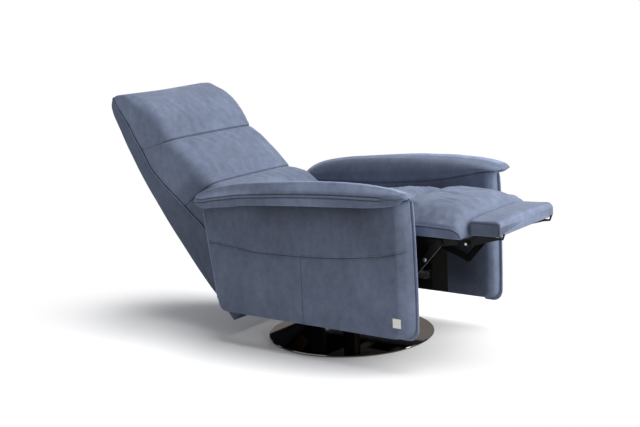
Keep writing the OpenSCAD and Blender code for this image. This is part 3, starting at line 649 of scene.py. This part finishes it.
def arm_pad(side, name):
    """Soft pad that drops over the outer face as a brim, and the cord along its side."""
    rings = []
    line = []
    starts = (0, 1.2, 3, 6, 10, 15, 21, 28, 36, 46, 58, 70)
    ends = (56, 47, 39, 32, 26, 20, 15, 10, 6, 3, 1, 0)
    for place in spaced(starts, 10, 835, ends, Y_END - Y_PAD):
        y = Y_PAD + place
        ring = catmull(pad_points(y), PAD_SPANS)
        out = []
        fade = ease((y - Y_PAD) / 50) * ease((Y_END - y) / 60)
        piped = ease((y - PIPED_FROM - 4) / 10)
        for k, (x, z) in enumerate(ring):
            nx, nz = outward(ring, k)
            run = hypot(x - ring[PIPING_AT][0], z - ring[PIPING_AT][1])
            cut = piped * (2.2 * bell(run - 3.6, 2.2) - 0.9 * bell(run - 9, 3.5))
            cut += (1 - piped) * 1.6 * bell(run, 3.2)
            cut += 2.0 * bell(hypot(run, (y - PIPED_FROM) * 0.8), 9)
            if k > PIPING_AT:
                cut += 1.4 * bell(y - TICK_Y, 3.5)
            ripple = 0.9 * rough(side * x, y, z, 70, 1.3) + 0.5 * rough(side * x, y * 1.8, z, 26, 4.9)
            move = (ripple * 0.9 - cut) * fade if 3 < k < len(ring) - 14 else 0
            out.append((side * (x + nx * move), y, z + nz * move))
        rings.append(out)
        if y > PIPED_FROM:
            x, y, z = out[PIPING_AT]
            line.append((x + side * 1.4, y, z))
    pad = skin(name, rings, leather)
    seam = [ring[PIPING_AT][1:] for ring in rings]

    # Painted light and shade: the inner side painted darker, painted shade above and below the cord, in the
    # short seam and along the unpiped front, and painted highlights on the crest, its rear and the brim.
    def painted_light(x, y, z):
        x = abs(x)
        d = z - smooth(seam, y)
        painted_shading = 0.22 * (1 - ease((x - 262) / 30))
        if x >= XO + 8:
            lit = ease((y - PIPED_FROM) / 12)
            tick = 0.55 * bell(y - TICK_Y, 2.6) if d < -3 else 0
            painted_shading += max(0.62 * bell(d - 5.6, 1.7) * lit, 0.42 * bell(d + 5.0, 1.7) * lit, tick,
                        0.35 * bell(d, 2.5) * (1 - lit))
        crest = ease((x - 300) / 14)
        top = crest * ease((d - 9) / 12) * (1 - ease((y + 120) / 330))
        rear = crest * ease((d - 3) / 8) * (1 - 0.6 * ease((d - 16) / 14)) * ease((y - 60) / 160)
        brim = ease((x - 330) / 14) * ease((-4 - d) / 4) * bell(y + 60, 150)
        return painted_shading - 1.0 * top - 0.85 * rear - 0.45 * brim

    return shade(pad, painted_light), pipe(name + "_piping", line[:-1], 2.9, 3)


def nose_band(side, name):
    """Flat edge beside the slot, down the nose and round its lower corner to a short step; in the lighter
    welt leather and painted lighter still, a painted highlight.
    """
    path = [(smooth(NOSE_LINE, z) - 7.6, z) for z in range(572, 150, -12)]
    depths = [10.0] * len(path)
    for k in range(15):
        a = radians(180 + 90 * k / 14)
        r = 41.6 - 3.2 * k / 14
        path.append((Y_FRONT + 34 + r * cos(a), 146.5 + r * sin(a)))
        depths.append(10.0 + 12.0 * ease(k / 6))
    path += [(-420, 108.1), (-412, 108.1), (-405, 108.1), (-401, 108.1)]
    path += [(-398, 109.5), (-396.5, 112), (-396, 116)]
    depths += [22.0, 22.0, 22.0, 20.0, 16.0, 10.0, 7.0]
    last = len(path) - 1
    rings = []
    for i, (y, z) in enumerate(path):
        a, b = path[max(0, i - 1)], path[min(last, i + 1)]
        size = hypot(b[0] - a[0], b[1] - a[1])
        small = 0.5 if i in (0, last) else 1.0
        ring = []
        for k in range(12):
            turn = 2 * pi * k / 12
            c, s = (copysign(abs(v) ** 0.7, v) for v in (cos(turn), sin(turn)))
            x = side * (XM - 4.2 - smooth(NOSE_TILT, z)) + 3.4 * c * small
            inward = depths[i] / 2 * (1 - s * small) / size
            ring.append((x, y + (a[1] - b[1]) * inward, z + (b[0] - a[0]) * inward))
        rings.append(ring)
    return shade(skin(name, rings, welt), lambda x, y, z: -0.3)


def edge_welt(side, name):
    """Thin welt up the rear edge of the outer face, painted lighter: a painted highlight."""
    rear = arm_sides(True, 24, 5)[3]
    line = [(side * (XO + 0.6), p[0] + 1.6, p[1]) for p in rear[3:-3]]
    return shade(pipe(name, along(line, 60), 2.3, 2), lambda x, y, z: -0.45)


def slot_strip(side, name):
    """Near-black strip at the bottom of the slot between the arm's two halves: painted shadow, a sheet put
    where the slot is only in shade.
    """
    bottom, front, _, rear = arm_sides(True, 7, 6)
    path = front[::-1][3:] + bottom[1:-1] + rear[1:-6]
    points = []
    for y, z in path:
        x = XM - smooth(NOSE_TILT, z)
        points += [(side * (x - 3.2), y, z), (side * (x + 3.2), y, z)]
    faces = [(a - 2, a - 1, a + 1, a) for a in range(2, len(points), 2)]
    return add_mesh(name, points, faces, painted_slot_shadow)


def arm(side, word):
    for outer, part in ((True, "arm_outer_"), (False, "arm_inner_")):
        piece(arm_half(outer, side, part + "skin_" + word), "frame", part + word, fill=0.5)
    pad, cord = arm_pad(side, "arm_pad_skin_" + word)
    piece(pad, "frame", "arm_pad_" + word, fill=0.7)
    for trim in (cord, nose_band(side, "arm_nose_band_" + word), edge_welt(side, "arm_welt_" + word),
                 slot_strip(side, "arm_slot_" + word)):
        piece(trim, "frame")


left_side = 1 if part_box("arm_outer_left")[0].x > 0 else -1
arm(left_side, "left")
arm(-left_side, "right")


# Cloth

def puffed(obj, pins, pressure, cap, stretch):
    """Inflates a skin as cloth, held where pins says, and caps how far any point moves. Keeps its faces."""
    frames = 18
    mesh = obj.data
    group = obj.vertex_groups.new(name="held")
    before = [v.co.copy() for v in mesh.vertices]
    for i, v in enumerate(mesh.vertices):
        w = clamp(pins(*(c / MM for c in v.co)))
        if w > 0:
            group.add([i], w, "REPLACE")
    m = obj.modifiers.new("cloth", "CLOTH")
    for key, value in {
            "quality": 5, "mass": 0.25, "tension_stiffness": 18, "compression_stiffness": 14,
            "shear_stiffness": 8, "bending_stiffness": 0.35, "use_pressure": True,
            "uniform_pressure_force": pressure, "shrink_min": stretch, "vertex_group_mass": "held"}.items():
        setattr(m.settings, key, value)
    m.settings.effector_weights.gravity = 0.0
    m.collision_settings.use_collision = False
    m.point_cache.frame_start = 1
    m.point_cache.frame_end = frames
    for f in range(1, frames + 1):
        scene.frame_set(f)
    dg = bpy.context.evaluated_depsgraph_get()
    after = [v.co.copy() for v in obj.evaluated_get(dg).data.vertices]
    obj.modifiers.remove(m)
    scene.frame_set(1)
    for v, a, b in zip(mesh.vertices, before, after):
        d = b - a
        v.co = a + d * min(1, cap * MM / max(d.length, 1e-9))
    mesh.update()
    return obj


# Seat cushion

PAD_Z, SEAT_FRONT, SEAT_REAR, SOFT_HALF = 448.0, 316.0, 210.0, 245.0
BOXING, CROWN = 41.0, 44.0
LEG_LEN, FOOT_LEN, FOOT_REAR, FOOT_Z, FOOT_HALF = 285, 110.0, -604.0, 453, 188
PULLS = (
    (-60, -290, 25, 150, 16, 3.4), (40, -262, -18, 170, 18, 3.2), (-120, -225, 40, 120, 15, 2.4),
    (120, -300, -35, 130, 16, 2.8), (10, -180, 8, 190, 22, 2.2), (-150, -360, 60, 110, 16, 2.6),
    (150, -380, -55, 120, 16, 2.6), (0, -420, 80, 130, 18, 2.6), (90, -470, -70, 110, 15, 2.2),
    (-90, -480, 70, 110, 15, 2.2), (-170, -300, 15, 90, 14, 2.4), (175, -240, -20, 90, 14, 2.4))


def seat_bottom(y):
    return PAD_Z - 4 - (y + SEAT_FRONT) * 0.092


def section(half, lo, hi, rb, rt, crown, low_arc=5, high_arc=8, rise=0, across=44, below=15):
    """Closed outline [x, z] of a pad, its edges round by rb and rt and its top crowned."""

    def between(a, b, n):
        return [tuple(p + (q - p) * i / (n + 1) for p, q in zip(a, b)) for i in range(1, n + 1)]

    raw = (arc_points(-half + rb, lo + rb, rb, 270, 180, low_arc)
           + between((-half, lo + rb), (-half, hi - rt), rise)
           + arc_points(-half + rt, hi - rt, rt, 180, 90, high_arc)
           + between((-half + rt, hi), (half - rt, hi), across)
           + arc_points(half - rt, hi - rt, rt, 90, 0, high_arc)
           + between((half, hi - rt), (half, lo + rb), rise)
           + arc_points(half - rb, lo + rb, rb, 0, -90, low_arc)
           + between((half - rb, lo), (-half + rb, lo), below))
    return [(x, z + crown * (1 - (x / half) ** 4) * (z - lo) / (hi - lo)) for x, z in raw]


def creases(x, y):
    """Soft pulls across a seat that has been sat on, in mm."""
    v = 0.0
    for cx, cy, angle, length, width, depth in PULLS:
        a = radians(angle)
        u = (x - cx) * cos(a) + (y - cy) * sin(a)
        w = -(x - cx) * sin(a) + (y - cy) * cos(a)
        v += depth * (bell(w, width * 0.5) - 0.55 * bell(abs(w) - width, width * 0.7)) * bell(u, length * 0.5)
    fold = rough(x * 0.55 + y * 0.35, y * 0.9 - x * 0.5, 0, 74, 11.0)
    fine = rough(x * 0.8 - y * 0.3, y * 1.1, 0, 34, 4.0)
    return 2.5 - 2.6 * v - 7.0 * abs(fold) - 2.2 * fine


def pad_ring(y, outline, lo, hi, gain, pull, *lumps):
    """Ring of a pad at y, its top moved by the pulls and by lumps of (height, size, seed)."""
    ring = []
    for x, z in outline:
        move = sum(height * rough(x, y, z, size, seed) for height, size, seed in lumps)
        if pull:
            move += creases(x, y)
        ring.append((x, y, z + ease((z - lo) / (hi - lo) - 0.4) * gain * move))
    return ring


def held(x, z, ends, z_low):
    """How firmly a seat or leg pad is held: at its sides, its ends and below z_low."""
    return max(0.02, ease((abs(x) - SOFT_HALF + 34) / 24), *ends, ease((z_low - z) / 10))


def seat_skin():
    y0 = -SEAT_FRONT + 4
    length = SEAT_REAR - y0
    rings = []
    for d in spaced([0, 2, 5, 9, 14, 20, 28.0], 9, length - 32, (26, 20, 14, 9, 5, 2, 0), length):
        y = y0 + d
        lo = seat_bottom(y) + 0.3
        tuck = round_in(d, 14) + round_in(length - d, 26)
        hi = lo + BOXING + 4 + 14 * d / length - tuck
        half = SOFT_HALF - 3 * sin(pi * d / length) - tuck / 3
        outline = section(half, lo, hi, 6, 12, CROWN * (1 - 0.5 * d / length) - tuck * 0.6)
        rings.append(pad_ring(y, outline, lo, hi, 1, True, (1.2, 60, 2.2), (0.5, 24, 6.1)))

    def pins(x, y, z):
        ends = ease((-SEAT_FRONT + 34 - y) / 26), ease((y - 170) / 30)
        return held(x, z, ends, seat_bottom(y) + BOXING + 16)

    return puffed(skin("seat_cushion_skin", rings, leather), pins, 1.8, 14, -0.03)


piece(seat_skin(), "carriage", "seat_cushion", fill=0.7)


# Leg rest: main pad and folding foot pad

def leg_pad():
    y1 = -SEAT_FRONT - 2
    y0 = y1 - LEG_LEN
    rings = []
    starts = [0, 1.2, 3, 6, 10, 15, 21, 28, 36, 46, 56.0]
    for d in spaced(starts, 8.5, LEG_LEN - 18, (14, 9, 5, 2, 0), LEG_LEN):
        nose = round_in(d, 38)
        tuck = nose + round_in(LEG_LEN - d, 14)
        hi = PAD_Z + BOXING - 4 * (1 - d / LEG_LEN) - tuck * 0.85
        half = SOFT_HALF - 1 - 3 * sin(pi * d / LEG_LEN) - nose / 4
        crown = CROWN * (1 - nose / 60) * (1 - 0.16 * max(0, 1 - d / 110)) - tuck / 5
        outline = section(half, PAD_Z, hi, min(5, (hi - PAD_Z) / 3), min(12, (hi - PAD_Z) / 2.2), crown)
        rings.append(pad_ring(y0 + d, outline, PAD_Z, hi, ease(d / 60), True, (1.6, 55, 7.2), (0.8, 22, 3.3)))
    obj = skin("leg_pad_skin", rings, leather)
    seam = [ring[9][1:] for ring in rings]

    # Painted shade: a darker line just under the side piping, where the cord shades the boxing.
    def painted_shading(x, y, z):
        return 0.8 * bell(z - smooth(seam, y) + 3.4, 2.4) if abs(x) >= SOFT_HALF - 14 else 0

    def pins(x, y, z):
        return held(x, z, (ease((y0 + 22 - y) / 16), ease((y - y1 + 26) / 20)), smooth(seam, y) + 12)

    piece(shade(puffed(obj, pins, 1.8, 14, -0.03), painted_shading), "leg_rest", "leg_pad", fill=0.6)
    for i, (at, out) in enumerate(((9, -0.6), (64, 0.6))):
        line = [(ring[at][0] + out, *ring[at][1:]) for ring in rings[3:-1]]
        piece(pipe("leg_pad_piping_%d" % i, line, 2.1, 2), "leg_rest")


def foot_skin():
    y0 = FOOT_REAR - FOOT_LEN
    rings = []
    for d in (0, 1, 3, 6, 9, 13, 18, 26, 36, 48, 60, 72, 84, 94, 100, 104, 107, 109, 110):
        tuck = round_in(d, 18) + round_in(FOOT_LEN - d, 10)
        hi = FOOT_Z + 46 + 4 * (1 - d / FOOT_LEN) - tuck * 0.7
        lo = FOOT_Z + 3 * (1 - d / FOOT_LEN) + round_in(d, 9) * 0.6
        half = FOOT_HALF - tuck / 5 - 1.5 * sin(pi * d / FOOT_LEN)
        outline = section(half, lo, hi, 4, 10, 8 - tuck / 4)
        rings.append(pad_ring(y0 + d, outline, lo, hi, 1, False, (1.2, 50, 5.2), (0.6, 20, 1.3)))

    # Painted light and shade: a painted highlight on the front face; the sides painted darker overall, with
    # darker lines along the rear, front and top edges, painted shade in the seams.
    def painted_shading(x, y, z):
        if abs(x) < FOOT_HALF - 7:
            return -0.3 * ease((y0 + 10 - y) / 8)
        line = max(bell(y - FOOT_REAR + 4, 3.4), bell(y - y0 - 5, 2.6), 0.9 * bell(z - FOOT_Z - 42, 2.6))
        return 0.22 + 0.5 * line

    return shade(skin("foot_pad_skin", rings, leather), painted_shading)


leg_pad()
piece(foot_skin(), "foot_flap", "foot_pad", fill=0.7)


# Rivet heads on the linkage

def rivets(name, carrier, y, z, radius, height):
    """A domed head on each side, on the outer face of the plate that carries it."""
    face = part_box(carrier)[1].x / MM - 0.2
    profile = [(1, 0), (1, 0.4), (0.88, 0.72), (0.6, 0.93), (0.25, 1)]
    n = 24
    points, faces = [], []
    for side in (-1, 1):
        first = len(points)
        for r, h in profile:
            for k in range(n):
                a = side * 2 * pi * k / n
                reach = r * radius
                points.append((side * (face + h * height), y + reach * cos(a), z + reach * sin(a)))
        last = len(points) - n
        faces += [tuple(first + v for v in f) for f in tube(len(profile), n)]
        faces += [tuple(range(last, last + n)), tuple(range(first + n - 1, first - 1, -1))]
    return add_mesh(name, points, faces, zinc)


piece(rivets("foot_hinge_rivets", "foot_lugs", -585, 422, 5.2, 2.0), "leg_rest", slot="zinc_steel")
piece(rivets("link_rivets", "upper_links", -457, 366, 6.5, 2.2), "upper_link", slot="zinc_steel")


# Back, in its own curved coordinates: s runs up the rear face, w forward from it

LEAN = radians(40.5)
BACK_Y, BACK_Z, STRAIGHT, BEND_RADIUS, BACK_HALF = 351, 57, 520, 1110, 240
SEAM_W = [[0, 76], [60, 116], [200, 126], [329, 128], [404, 114], [474, 101], [532, 88], [578, 78], [611, 72],
          [647, 64], [679, 62], [732, 62], [782, 56], [858, 46], [919, 28], [950, 17], [973, 14], [986, 15]]
FRONT_W = [[215, 324], [256, 330], [307, 325], [362, 309], [395, 286], [433, 257], [523, 238], [632, 218],
           [712, 196], [776, 188], [844, 174], [897, 156], [925, 142], [950, 121], [966, 104], [974, 88],
           [980, 62], [984, 40]]


def lean(s):
    return LEAN - max(0.0, s - STRAIGHT) / BEND_RADIUS


def back_at(s, w):
    a = lean(s)
    run = min(s, STRAIGHT)
    y = BACK_Y + run * sin(LEAN) + BEND_RADIUS * (cos(a) - cos(LEAN))
    z = BACK_Z + run * cos(LEAN) + BEND_RADIUS * (sin(LEAN) - sin(a))
    return y - w * cos(a), z + w * sin(a)


def back_inverse(y, z):
    """s and w of a point, by a few steps from a first guess."""
    s = (y - BACK_Y) * sin(LEAN) + (z - BACK_Z) * cos(LEAN)
    for _ in range(6):
        a = lean(s)
        y0, z0 = back_at(s, 0)
        s += (y - y0) * sin(a) + (z - z0) * cos(a)
    a = lean(s)
    y0, z0 = back_at(s, 0)
    return s, -(y - y0) * cos(a) + (z - z0) * sin(a)


def side_w(s):
    return smooth(SEAM_W, s)


def face_w(s):
    return smooth(FRONT_W, s)


def back_skin(name, low, high, rows, puff, bulge, low_end, high_end, seed):
    """One cushion of the back. low and high are its ends as [side, front] heights; an end is
    (radius, depth at the front, depth at the side, share of the height where the front begins)."""
    rings = []
    run = abs(high[1] - low[1])
    top_end = high_end[0] == 0
    for k in range(rows + 1):
        e = 0.75 * (0.5 - 0.5 * cos(pi * k / rows)) + 0.25 * k / rows
        sb, sf = (a + (b - a) * e for a, b in zip(low, high))
        wb, wf = side_w(sb), face_w(sf)
        swell = 0.6 + 0.4 * sin(pi * (min(e, 0.5) if top_end else e)) ** 0.5
        depth = wf - wb + puff * swell * (1 - ease(2 * e - 1) if top_end else 1)
        grow = bulge * swell * (1 - ease((e - 0.7) / 0.3) if top_end else 1)
        crown = min(12, depth / 5) * ((1 - e ** 3) if top_end else 1)
        flat = section(BACK_HALF, 0, depth, min(7, depth / 5), min(42, depth * 0.42), crown, 4, 10, 8, 40, 11)
        ring = []
        for i, (x, w) in enumerate(flat):
            nx, nw = outward(flat, i)
            f = w / depth
            cut = 0.0
            for d, (radius, deep, shallow, begin) in ((e * run, low_end), ((1 - e) * run, high_end)):
                if radius:
                    front = ease((f - begin) / 0.3)
                    reach = radius * (0.4 + 0.6 * front)
                    cut += (shallow + (deep - shallow) * front) * round_in(d, reach) / reach
            soft = ease((w - 10) / 40) * ease(min(e, 1 - e) * run / 26)
            lump = soft * (1.8 * rough(x, sf, w, 85, seed) + 1.0 * rough(x, sf * 1.3, w, 33, seed + 2))
            move = lump - cut if f > 0.02 else 0
            w2 = w + nw * move
            s = sb + (sf - sb) * w2 / max(1, wf - wb)
            if top_end:
                s += ease((e - 0.8) / 0.2) * (abs(x) / BACK_HALF) ** 6 * (7 if x > 0 else 3)
            ring.append((x * (1 + grow / BACK_HALF * ease(f * 2.4)) + nx * move, *back_at(s, wb + w2)))
        rings.append(ring)

    def place(w, s_side, s_front):
        """Share of the way from the side seam to the front face."""
        return clamp((w - side_w(s_side)) / max(1, face_w(s_front) - side_w(s_side)))

    def pins(x, y, z):
        s, w = back_inverse(y, z)
        part = place(w, s, s)
        from_low = s - low[0] - (low[1] - low[0]) * part
        from_high = high[0] + (high[1] - high[0]) * part - s
        edge = max(ease((abs(x) - 176) / 30), ease((face_w(s) - 18 - w) / 16))
        low_zone, high_zone = 80 if low[0] < 300 else 34, 90 if top_end else 34
        return max(0.03, edge, ease((low_zone - from_low) / 24), ease((high_zone - from_high) / 24))

    # Painted light and shade: darker lines along the seams between pads, painted shade in the grooves; a
    # darker line beside the piping; a painted highlight on the upper side boxing towards the front; painted
    # shade on the lower sides.
    def painted_shading(x, y, z):
        s, w = back_inverse(y, z)
        out = 0.0
        for (s_side, s_front), (radius, _, _, begin) in ((low, low_end), (high, high_end)):
            if radius:
                f = place(w, s_side, s_front)
                strength = (0.62 if begin > 0.5 else 0.28) * ease((f - begin - 0.06) / 0.06)
                out = max(out, max(strength, 0.16) * bell(s - s_side - (s_front - s_side) * f, 2.8))
        if abs(x) > 200:
            above = w - side_w(s)
            depth = face_w(s) - side_w(s)
            at_side = ease((abs(x) - 225) / 12)
            low_part = ease((470 - s) / 40)
            out = max(out, (0.8 + 0.2 * low_part) * bell(above, 2.6 + 1.8 * low_part))
            lit = at_side * ease((s - 470) / 60) * ease(above / 8)
            out -= 0.55 * lit * (1 - ease((above - 0.8 * depth) / (0.25 * depth)))
            out += 0.30 * at_side * ease((470 - s) / 50)
        return out

    return shade(puffed(skin(name, rings, leather, hard_ends=True), pins, 1.2, 7, -0.02), painted_shading)


for pad_name, *shape in (
        ("lower_pad", [228, 214], [448, 433.5], 44, 13, 7, (16, 12, 4, 0.3), (22, 5, 3, 0.3), 1.0),
        ("middle_pad", [448, 433.5], [746, 707.5], 60, 18, 13, (22, 5, 3, 0.3), (22, 6, 2, 0.74), 2.0),
        ("head_pad", [746, 707.5], [980, 984], 56, 17, 13, (22, 6, 2, 0.74), (0, 0, 0, 0), 3.0)):
    piece(back_skin(pad_name + "_skin", *shape), "back", pad_name, fill=0.7)


REAR_W = [[60, 1], [115, 0], [160, -4], [240, -6], [330, -5], [440, -3], [500, 0.5], [560, 4], [650, 4.5],
          [730, 4.5], [790, 1.5], [850, -1], [890, -5], [925, -9], [955, -7], [972, 4], [984, 12], [988, 14]]


def rear_w(s):
    """Where the rear face lies; it leans forward at the very top."""
    return 0.6 + smooth(REAR_W, s)


def back_side_skin(side, name):
    """Closing panel between the piping and the rear, with an upright seam and a strip seam."""
    stops = [4.0]
    while stops[-1] < 981:
        stops.append(stops[-1] + (3.2 if 90 < stops[-1] < 430 else 6))
    stops[-1] = 983.0
    rings = []
    for s in stops:
        top, foot = side_w(s) - 1.2, rear_w(s)
        ring = []
        for k in range(45):
            w = foot + (top - foot) * k / 44
            out = 240.6 - 1.8 * (1 - ease(min(w - foot, top - w) / 6)) + 0.5 * rough(40, s, w, 45, 9.0)
            out -= 1.3 * bell(upright_seam(s, w), 2.2) + 1.3 * bell(strip_seam(s, w), 2.2)
            ring.append((side * out, *back_at(s, w)))
        for f in (1.0, 0.66, 0.33, 0.0):
            ring.append((side * 227.0, *back_at(s, foot + 1 + (top - foot - 2.5) * f)))
        rings.append(ring)

    # Painted shade: the hidden inner return painted darker, darker lines along the two seams and beside the
    # piping, and the lower panel darker where it sits behind the arm.
    def painted_shading(x, y, z):
        if abs(x) < 232:
            return 0.3
        s, w = back_inverse(y, z)
        return max(0.75 * bell(upright_seam(s, w), 1.7), 0.85 * bell(strip_seam(s, w), 1.9),
                   0.5 * bell(w - side_w(s) + 1, 2.5), 0.34 * ease((560 - s) / 120))

    return shade(skin(name, rings, leather_shaded, hard_ends=True), painted_shading)


def upright_seam(s, w):
    """Distance from the short seam that drops from the piping behind the arm."""
    return s - 353 - (w - 58) * 1.19 if w >= 50 else 99.0


def strip_seam(s, w):
    """Distance from the seam that parts the rear strip from the side, low down."""
    line = [[95, -3], [128, 0.5], [173, 6], [225, 16.5], [280, 27], [300, 31]]
    return w - smooth(line, s) if 95 < s < 300 else 99.0


def back_rear_skin():
    """Rear cover, slightly full, wrapped 3 mm round both edges and over the top."""
    half = 240.2
    rings = []
    for s in [4.0] + [20.0 + 16 * k for k in range(58)] + [950, 962, 970, 977, 982, 985]:
        end = min(s - 4, 985 - s)
        foot = rear_w(s) - 0.6
        ring = []
        for k in range(41):
            x = -half + 2 * half * k / 40
            edge = half - abs(x)
            full = 3.5 * ease(edge / 60) * ease(end / 60) + 0.8 * rough(x, s, 0, 110, 4.4) * ease(edge / 20)
            ring.append((x, *back_at(s, foot - 1.2 + 1.4 * (1 - ease(edge / 5)) - full)))
        for x, w in ((half, 2.4), (228, 3.2), (0, 3.2), (-228, 3.2), (-half, 2.4)):
            ring.append((x, *back_at(s, foot + w)))
        rings.append(ring)
    return skin("back_rear_skin", rings, leather_shaded, hard_ends=True)


def back_piping(side, name):
    line = []
    for s in range(40, 984, 8):
        line.append((side * (241.6 - 3.0 * clamp((s - 940) / 44)), *back_at(s, side_w(s) - 0.8)))
    cord = pipe(name, along(line, 150), 2.4, 2)
    # The upper piping is painted lighter: a painted highlight.
    return shade(cord, lambda x, y, z: -0.5 * ease((back_inverse(y, z)[0] - 440) / 40))


for side, word in ((left_side, "left"), (-left_side, "right")):
    piece(back_side_skin(side, "back_side_skin_" + word), "back", "back_side_" + word)
    piece(back_piping(side, "back_piping_" + word), "back")
piece(back_rear_skin(), "back", "back_panel")


# Finishes of the parts that show as they were built; what isn't named here is black steel

finish_of = {}
for material, names in (
        (chrome, "base_disc"),
        (felt_mat, "base_felt"),
        (black_plastic, "column_bush control_panel battery_pack"),
        (grey_plastic, "rocker_back rocker_legs"),
        (white_plastic, "slider_shoes"),
        (zinc, "bearing_lower bearing_upper swivel_spindle leg_actuator_rod recline_actuator_rod"),
        (zinc, "slide_rails hinge_pins"),
        (satin, "corner_plate"),
        (ply, "arm_core_left arm_core_right back_uprights"),
        (lining_mat, "arm_linings"),
        (web_mat, "seat_straps")):
    for name in names.split():
        finish_of[name] = material
for name, o in nodes.items():
    if name not in covered:
        o.data.materials.clear()
        o.data.materials.append(finish_of.get(name, steel))
        for f in o.data.polygons:
            f.use_smooth = True
        bevel = o.modifiers.new("edge", "BEVEL")
        bevel.width = 0.0006
        bevel.segments = 2
        bevel.limit_method = "ANGLE"
        bevel.angle_limit = radians(32)
        bevel.harden_normals = True


# Floor, world, light and camera

def background_material():
    """Pale floor that keeps the shadow near the object and runs out to white further off."""
    m = bpy.data.materials.new("floor")
    tree, out = empty_tree(m, "OutputMaterial")
    near = fed(tree, "AddShader",
               fed(tree, "BsdfDiffuse", Color=(0.80, 0.80, 0.81, 1)),
               fed(tree, "Emission", Color=(1, 1, 1, 1), Strength=0.06))
    bounce = fed(tree, "BsdfDiffuse", Color=(0.31, 0.31, 0.315, 1))
    white = fed(tree, "Emission", Color=(1, 1, 1, 1), Strength=1.0)
    place = node(tree, "TexCoord").outputs["Object"]
    away = node(tree, "VectorMath", operation="DISTANCE")
    tree.links.new(place, away.inputs[0])
    away.inputs[1].default_value = (-0.22, 0.38, 0)
    fade = fed(tree, "MapRange", away.outputs["Value"], interpolation_type="SMOOTHSTEP",
               **{"From Min": 0.38, "From Max": 1.25})
    shown = fed(tree, "MixShader", fade, near, white)
    tree.links.new(fed(tree, "MixShader", seen(tree)[0], bounce, shown), out.inputs["Surface"])
    return m


def seen(tree):
    """1 for rays that show a thing directly or in a mirror, and the outputs for every kind of ray."""
    rays = node(tree, "LightPath").outputs
    return fed(tree, "Math", rays["Is Camera Ray"], rays["Is Glossy Ray"], operation="MAXIMUM"), rays


def world_light(strength):
    scene.world = bpy.data.worlds.new("world")
    tree, out = empty_tree(scene.world, "OutputWorld")
    dim = fed(tree, "Background", Color=(0.97, 0.98, 1, 1), Strength=strength)
    white = fed(tree, "Background", Color=(1, 1, 1, 1), Strength=1.0)
    shown, rays = seen(tree)
    shown = fed(tree, "Math", shown, rays["Is Transmission Ray"], operation="MAXIMUM")
    tree.links.new(fed(tree, "MixShader", shown, dim, white), out.inputs["Surface"])


def area(name, location, target, size, power):
    data = bpy.data.lights.new(name, "AREA")
    data.shape = "RECTANGLE"
    data.size, data.size_y = size
    data.energy = power
    obj = add_object(name, data)
    obj.location = location
    obj.rotation_mode = "QUATERNION"
    obj.rotation_quaternion = (Vector(target) - Vector(location)).to_track_quat("-Z", "Y")
    obj.visible_camera = False
    return obj


size = 14000
corners = [(-size, -size, 0), (size, -size, 0), (size, size, 0), (-size, size, 0)]
floor_plane = add_mesh("floor", corners, [(0, 1, 2, 3)], background_material())
world_light(0.28)
area("key", (1.5, -2.7, 3.1), (0, 0, 0.4), (2.4, 2.0), 98)
area("top", (0.3, 0.2, 3.4), (0, 0, 0.4), (3.0, 3.0), 26)
area("front", (0.7, -4.1, 1.3), (0, 0, 0.4), (2.0, 1.2), 50)
floor_only = bpy.data.collections.new("floor_only")
floor_only.objects.link(floor_plane)
over = area("floor_light", (0.5, -0.65, 3.6), (0, 0, 0), (3.0, 3.0), 245)
over.light_linking.receiver_collection = floor_only


def photo_camera():
    distance, azimuth, elevation, roll = 4.28265, -52.96044, 10.95185, 2.58058
    focal, shift_u, shift_v = 1200.0, -0.0954053, -0.003776
    a, e, r = map(radians, (azimuth, elevation, roll))
    back = Vector((sin(a) * cos(e), -cos(a) * cos(e), sin(e)))
    right = (-back).cross(Vector((0, 0, 1))).normalized()
    up = right.cross(-back)
    target = Vector((0, 0, 0.45)) + right * shift_u + up * shift_v
    x_axis = right * cos(r) - up * sin(r)
    y_axis = right * sin(r) + up * cos(r)
    data = bpy.data.cameras.new("camera")
    data.sensor_fit = "HORIZONTAL"
    data.sensor_width = 36.0
    data.lens = focal / 640 * 36.0
    data.clip_end = 100
    obj = add_object("camera", data)
    turn = Matrix((x_axis, y_axis, back)).transposed().to_4x4()
    obj.matrix_world = Matrix.Translation(target + back * distance) @ turn
    scene.camera = obj


photo_camera()
scene.view_settings.view_transform = "Standard"
